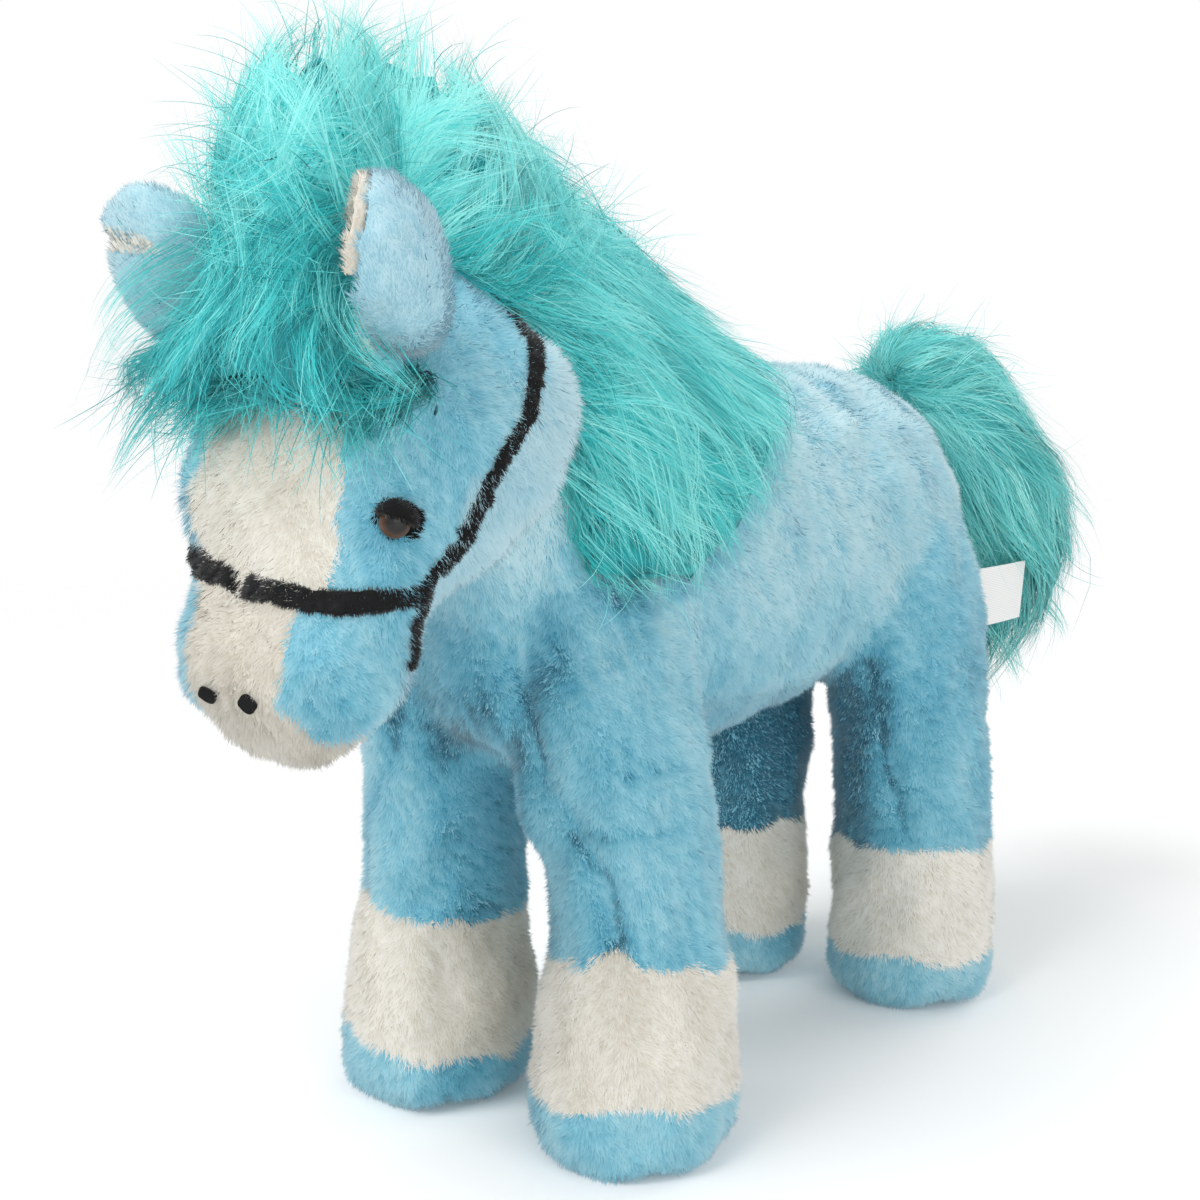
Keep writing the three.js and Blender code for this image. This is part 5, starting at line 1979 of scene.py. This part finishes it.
@dataclass(frozen=True)
class Eye:
    """A bead eye: a moulded dome with its iris and pupil, sunk in the pile under a felt lid."""

    side: str
    turn_outward: float = 1.02
    sink_mm: float = 1.6
    pupil_up_share: float = 0.07
    lid_radius_mm: float = 4.4
    lid_rise_mm: float = 3.6
    lid_thickness_mm: float = 0.8
    lid_low_mm: float = 0.7
    radius_mm: float = 3.8
    rise_mm: float = 2.9
    rim_mm: float = 0.9
    stem_radius_mm: float = 1.5
    stem_mm: float = 8
    shift_mm: tuple[float, float, float] = (0, 0, 0)

    def material(self) -> bpy.types.Material:
        """Moulded acrylic with a painted back: a glossy brown iris with fine rays round a black pupil, whose middle is
        painted grey as a reflection.
        """
        if EYE_FINISH in _made:
            return _made[EYE_FINISH]
        gloss = {"Roughness": 0.3, "Specular IOR Level": 0.2, "Coat Weight": 0.45, "Coat Roughness": 0.12, "IOR": 1.49}
        material, surface = new_material(EYE_FINISH, gloss)
        tree = material.node_tree
        pattern = add_node(tree, "UVMap", {"uv_map": PATTERN_MAP})
        pupil = (0.5, 0.5 + self.pupil_up_share, 0.0)
        apart = add_node(tree, "VectorMath", {"operation": "DISTANCE"}, {1: pupil}, {0: pattern.outputs[0]})
        rays = add_node(tree, "TexNoise", values={"Scale": 26.0, "Detail": 3.0}, links={"Vector": pattern.outputs[0]})
        uneven = add_node(tree, "MapRange", values={1: 0.0, 2: 1.0, 3: -0.03, 4: 0.03}, links={0: rays.outputs[0]})
        radius = add_node(tree, "Math", {"operation": "ADD"}, links={0: apart.outputs["Value"], 1: uneven.outputs[0]})
        tint = add_node(tree, "ValToRGB", links={0: radius.outputs[0]})
        set_ramp(tint, EYE_RINGS)
        tree.links.new(tint.outputs[0], surface.inputs["Base Color"])
        _made[EYE_FINISH] = material
        return material

    def build(self) -> None:
        """Makes the dome with its stem and rests it on the felt."""
        node = f"{self.side}_eye"
        sign = 1 if self.side == "left" else -1
        axis = Vector((sign * math.sin(self.turn_outward), -math.cos(self.turn_outward), 0))
        points = points_of(frame["nodes"][node].data)
        along = points @ np.array(axis)
        apex = Vector(points[along > along.max() - 0.05 * MM].mean(0))
        base = apex - axis * (self.rise_mm + self.sink_mm) * MM + Vector(self.shift_mm) * MM
        turn = axis.to_track_quat("Z", "Y").to_euler()
        radius = self.radius_mm * MM
        ball, rod = bpy.ops.mesh.primitive_uv_sphere_add, bpy.ops.mesh.primitive_cylinder_add
        size = (radius, radius, self.rise_mm * MM)
        dome = primitive(ball, segments=48, ring_count=32, radius=1, location=base, rotation=turn, scale=size)
        edit(dome, lambda: bpy.ops.mesh.bisect(plane_co=base, plane_no=axis, clear_inner=True, use_fill=True))
        rods = []
        for sides, wide, deep in ((48, radius, self.rim_mm * MM), (24, self.stem_radius_mm * MM, self.stem_mm * MM)):
            place = base - axis * deep / 2
            rods.append(primitive(rod, vertices=sides, radius=wide, depth=deep, location=place, rotation=turn))
        rim, stem = rods
        modify(rim, "BEVEL", width=0.2 * MM, segments=3)
        piece = joined([dome, rim, stem], f"{node}_bead")
        choose(piece)
        bpy.ops.object.shade_smooth_by_angle(angle=math.radians(40))
        across = np.array(Vector((0, 0, 1)).cross(axis).normalized())
        self.map_disc(piece, np.array(base), across, radius)
        piece.data.materials.clear()
        piece.data.materials.append(self.material())
        settle(piece, "body", [node])
        self.lid(base, turn, axis)

    def lid(self, base: Vector, turn: object, axis: Vector) -> None:
        """Folds a felt lid over the top and the outer corner of the dome.

        Args:
            base: The middle of the dome's foot.
            turn: The dome's turn.
            axis: The way that it looks.
        """
        node = f"{self.side}_eye_felt"
        wide, rise = self.lid_radius_mm * MM, self.lid_rise_mm * MM
        ball, size = bpy.ops.mesh.primitive_uv_sphere_add, (wide, wide, rise)
        cloth = primitive(ball, segments=64, ring_count=48, radius=1, location=base, rotation=turn, scale=size)
        over = (Vector((0, 0, 1)) + Vector((0, 1, 0)) * 0.45).normalized()
        low = base + over * self.lid_low_mm * MM
        foot = base - axis * 1.5 * MM
        edit(
            cloth,
            lambda: bpy.ops.mesh.bisect(plane_co=low, plane_no=over, clear_inner=True),
            lambda: bpy.ops.mesh.select_all(action="SELECT"),
            lambda: bpy.ops.mesh.bisect(plane_co=foot, plane_no=axis, clear_inner=True),
        )
        modify(cloth, "SOLIDIFY", thickness=self.lid_thickness_mm * MM, offset=1.0)
        Ribbon(node, 760, Pile.FELT, 0.0).nap(remeshed(cloth, 0.35), f"{self.side}_eyelid")

    def map_disc(self, piece: bpy.types.Object, centre: np.ndarray, across: np.ndarray, radius: float) -> None:
        """Lays the pattern map flat over the dome, with the pupil in its middle."""
        mesh = piece.data
        while mesh.uv_layers:
            mesh.uv_layers.remove(mesh.uv_layers[0])
        layer = mesh.uv_layers.new(name=PATTERN_MAP)
        corner = np.empty(len(mesh.loops), np.int32)
        mesh.loops.foreach_get("vertex_index", corner)
        apart = points_of(mesh)[corner] - centre
        flat = np.stack([apart @ across, apart[:, 2]], 1) / radius
        layer.uv.foreach_set("vector", np.clip(0.5 + 0.48 * flat, 0.01, 0.99).astype(np.float32).ravel())


@dataclass(frozen=True)
class Nostril:
    """An embroidered nostril: a padded spot of satin stitches side by side."""

    side: str
    width_mm: float = 5.0
    height_mm: float = 5.2
    stitches: int = 13
    thread_mm: float = 0.36
    rise_mm: float = 1.0
    sink_mm: float = 0.5

    def build(self, head: Hull) -> None:
        """Makes the stitches where the solid says.

        Args:
            head: The cloth of the head that they're sewn on.
        """
        node = f"{self.side}_nostril"
        low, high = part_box(node)
        middle = np.array((Vector(low) + Vector(high)) / 2)
        _, out = head.nearest(middle[None])
        axis = Vector(out[0]).normalized()
        turn = axis.to_track_quat("Z", "Y")
        centre = Vector(middle) - axis * self.sink_mm * MM
        threads = []
        pitch = self.width_mm / self.stitches
        for number in range(self.stitches):
            off = (number + 0.5) * pitch - self.width_mm / 2
            chord = self.height_mm * math.sqrt(max(1 - (2 * off / self.width_mm) ** 2, 0.2))
            place = centre + turn @ Vector((off * MM, 0, 0))
            thread = primitive(
                bpy.ops.mesh.primitive_uv_sphere_add, segments=12, ring_count=14, radius=1, location=place,
                rotation=turn.to_euler(), scale=(self.thread_mm * MM, chord / 2 * MM, self.rise_mm * MM),
            )
            threads.append(thread)
        piece = joined(threads, f"{node}_stitches")
        choose(piece)
        bpy.ops.object.shade_smooth()
        piece.data.materials.clear()
        piece.data.materials.append(material_of(Grain.THREAD))
        settle(piece, "body", [node])


@dataclass(frozen=True)
class Washer:
    """The washer that holds an eye inside the head, whose solid is right as it is."""

    side: str

    def dress(self) -> None:
        """Gives the washer its plastic."""
        for slot in frame["nodes"][f"{self.side}_eye_washer"].material_slots:
            slot.material = material_of(Grain.PLASTIC)


@dataclass(frozen=True)
class Label:
    """The bare satin label in the rump's seam: a strip sewn at one end that hangs out behind."""

    width_mm: float = 20.5
    length_mm: float = 34.5
    raised_mm: float = 3.5
    thickness_mm: float = 0.3
    curl_mm: float = 1.1
    across_cells: int = 24
    along_cells: int = 36

    def build(self) -> None:
        """Makes the strip with a soft curl and gives it its thickness."""
        points = points_of(frame["nodes"]["label"].data)
        front, back = points[points[:, 1].argmin()], points[points[:, 1].argmax()]
        middle_z = (points[:, 2].min() + points[:, 2].max()) / 2 + self.raised_mm * MM
        way = unit(np.array([back[0] - front[0], back[1] - front[1], 0.0]))
        out = np.array([way[1], -way[0], 0.0])
        grid = bpy.ops.mesh.primitive_grid_add
        piece = primitive(grid, x_subdivisions=self.along_cells, y_subdivisions=self.across_cells, size=2)
        piece.name = piece.data.name = "label_satin"
        flat = points_of(piece.data)
        along = (flat[:, 0] + 1) / 2
        height = flat[:, 1] / 2
        curl = self.curl_mm * (np.sin(along * math.pi * 1.2) * 0.8 + along**2 * height * 1.6)
        start = np.array([front[0], front[1], middle_z])
        placed = (
            start
            + way * (along * self.length_mm * MM)[:, None]
            - DOWN * (height * self.width_mm * MM)[:, None]
            + out * (curl * MM)[:, None]
        )
        set_points(piece.data, placed)
        modify(piece, "SOLIDIFY", thickness=self.thickness_mm * MM, offset=0.0)
        edit(piece, lambda: bpy.ops.mesh.normals_make_consistent(inside=False))
        choose(piece)
        bpy.ops.object.shade_smooth_by_angle(angle=math.radians(40))
        piece.data.materials.append(material_of(Grain.SATIN))
        settle(piece, "label", ["label"])


# Camera and light


@dataclass(frozen=True)
class Studio:
    """A pale floor, plain soft light, and the camera where the horse was seen from."""

    camera_place: tuple[float, float, float] = (0.36575, -0.5084, 0.2559)
    forward: tuple[float, float, float] = (-0.6121, 0.7695, -0.1822)
    lens_mm: float = 61.5
    sensor_mm: float = 36
    room_light: float = 0.54
    lamps: tuple[tuple[str, tuple[float, float, float], float, float], ...] = (
        ("key", (-0.35, -1.2, 1.7), 1.1, 26),
        ("fill", (1.6, -0.6, 1.0), 1.4, 12),
        ("back", (0.2, 1.5, 1.4), 1.4, 10),
    )

    def build(self) -> None:
        """Places the camera, the lights, the floor and the world."""
        scene = bpy.context.scene
        data = bpy.data.cameras.new("camera")
        data.lens = self.lens_mm
        data.sensor_width = self.sensor_mm
        camera = bpy.data.objects.new("camera", data)
        camera.location = self.camera_place
        camera.rotation_euler = Vector(self.forward).to_track_quat("-Z", "Y").to_euler()
        scene.collection.objects.link(camera)
        scene.camera = camera
        for name, place, size, power in self.lamps:
            self.lamp(name, place, size, power)
        self.floor()
        self.world()
        scene.view_settings.view_transform = "Standard"

    def lamp(self, name: str, place: tuple[float, float, float], size: float, power: float) -> None:
        """Hangs one square soft light that looks at the horse."""
        data = bpy.data.lights.new(name, "AREA")
        data.size = size
        data.energy = power
        light = bpy.data.objects.new(name, data)
        light.location = place
        aim = Vector((0, 0, 0.14)) - Vector(place)
        light.rotation_euler = aim.to_track_quat("-Z", "Y").to_euler()
        bpy.context.scene.collection.objects.link(light)

    def floor(self) -> None:
        """Lays the pale floor."""
        plane = primitive(bpy.ops.mesh.primitive_plane_add, size=6, location=(0, 0, 0))
        plane.name = "floor"
        material, surface = new_material("pale_floor", {"Roughness": 0.9})
        surface.inputs["Base Color"].default_value = linear("#f7f7f7")
        tree = material.node_tree
        place = add_node(tree, "TexCoord")
        apart = add_node(tree, "VectorMath", {"operation": "LENGTH"}, links={0: place.outputs["Object"]})
        away = add_node(tree, "MapRange", values={1: 0.3, 2: 1.0}, links={0: apart.outputs["Value"]})
        path = add_node(tree, "LightPath")
        shown = add_node(
            tree, "Math", {"operation": "MULTIPLY"}, links={0: away.outputs[0], 1: path.outputs["Is Camera Ray"]}
        )
        white = add_node(tree, "Emission", values={0: linear("#ffffff")})
        mixed = add_node(tree, "MixShader", links={0: shown.outputs[0], 1: surface.outputs[0], 2: white.outputs[0]})
        tree.links.new(mixed.outputs[0], tree.nodes["Material Output"].inputs["Surface"])
        plane.data.materials.append(material)

    def world(self) -> None:
        """Fills the room with plain light over a white background."""
        world = bpy.data.worlds.new("room")
        bpy.context.scene.world = world
        world.use_nodes = True
        tree = world.node_tree
        tree.nodes.clear()
        path = add_node(tree, "LightPath")
        seen = path.outputs["Is Camera Ray"]
        for kind in ("Is Glossy Ray", "Is Transmission Ray"):
            seen = add_node(tree, "Math", {"operation": "MAXIMUM"}, links={0: seen, 1: path.outputs[kind]}).outputs[0]
        strength = add_node(tree, "MapRange", values={3: self.room_light, 4: 1.0}, links={0: seen}).outputs[0]
        background = add_node(tree, "Background", values={0: linear("#ffffff")}, links={"Strength": strength})
        output = add_node(tree, "OutputWorld")
        tree.links.new(background.outputs[0], output.inputs["Surface"])


def main() -> None:
    """Builds the horse piece by piece."""
    logging.basicConfig(level=logging.INFO, format="%(message)s")
    Studio().build()
    hair = [Mane(), Forelock(), Tail()]
    for form in hair:
        form.shape()
    body, head = Body(), Head()
    for form in (body, head):
        form.sew()
    body_hull, head_hull = Hull.of(body.cloth), Hull.of(head.cloth)
    body.buried_in = [(head_hull, 1.0), (hair[0].hull, 5.0)]
    head.buried_in = [(body_hull, 1.0), (hair[0].hull, 5.0), (hair[1].hull, 7.0)]
    blockers = [body_hull.tree, head_hull.tree, hair[0].hull.tree]
    dressed = ((body, body_hull), (head, head_hull))
    for form, hull in dressed:
        form.openness = Openness.of(hull, blockers)
        form.dress()
    for form, hull in dressed:
        Fibrefill(tuple(form.stuffings)).build(hull)
    # The folded right ear is painted paler, as light on it.
    ears = [Ear("left", 600, foot_share=0.7, lining_from=0.66), Ear("right", 620, folded=True, paler=0.2)]
    for form in hair[:2]:
        form.keep_off = [*((ear.room(), 0.8, 2) for ear in ears), (head_hull, 1.0, 4)]
    hair[1].under = head_hull
    tag = remeshed(copy_of_node("label"), 0.5)
    hair[2].keep_off = [(Hull.of(tag), 3.5, 0)]
    bpy.data.objects.remove(tag)
    for form in hair:
        form.build()
    for ear in ears:
        ear.build(head_hull)
    Ribbon("noseband", 700, narrow=0.74, tilt_mm=4.5, dip=(-4.6, 1.9, 3.6)).build(head_hull)
    Ribbon("headstall", 720, forward=True).build(head_hull)
    for side, deeper_mm, shift in (("left", 0.0, (0.0, 0.0, 0.0)), ("right", 0.8, RIGHT_EYE_SHIFT)):
        Ribbon(f"{side}_eye_felt", 740, Pile.FELT, 1.9 + deeper_mm, moved_mm=shift).build(head_hull)
        Washer(side).dress()
        Eye(side, sink_mm=1.6 + deeper_mm, shift_mm=shift).build()
        Nostril(side).build(head_hull)
    Label().build()
    for form in (body, head):
        bpy.data.objects.remove(form.cloth)


if __name__ == "__main__":
    main()
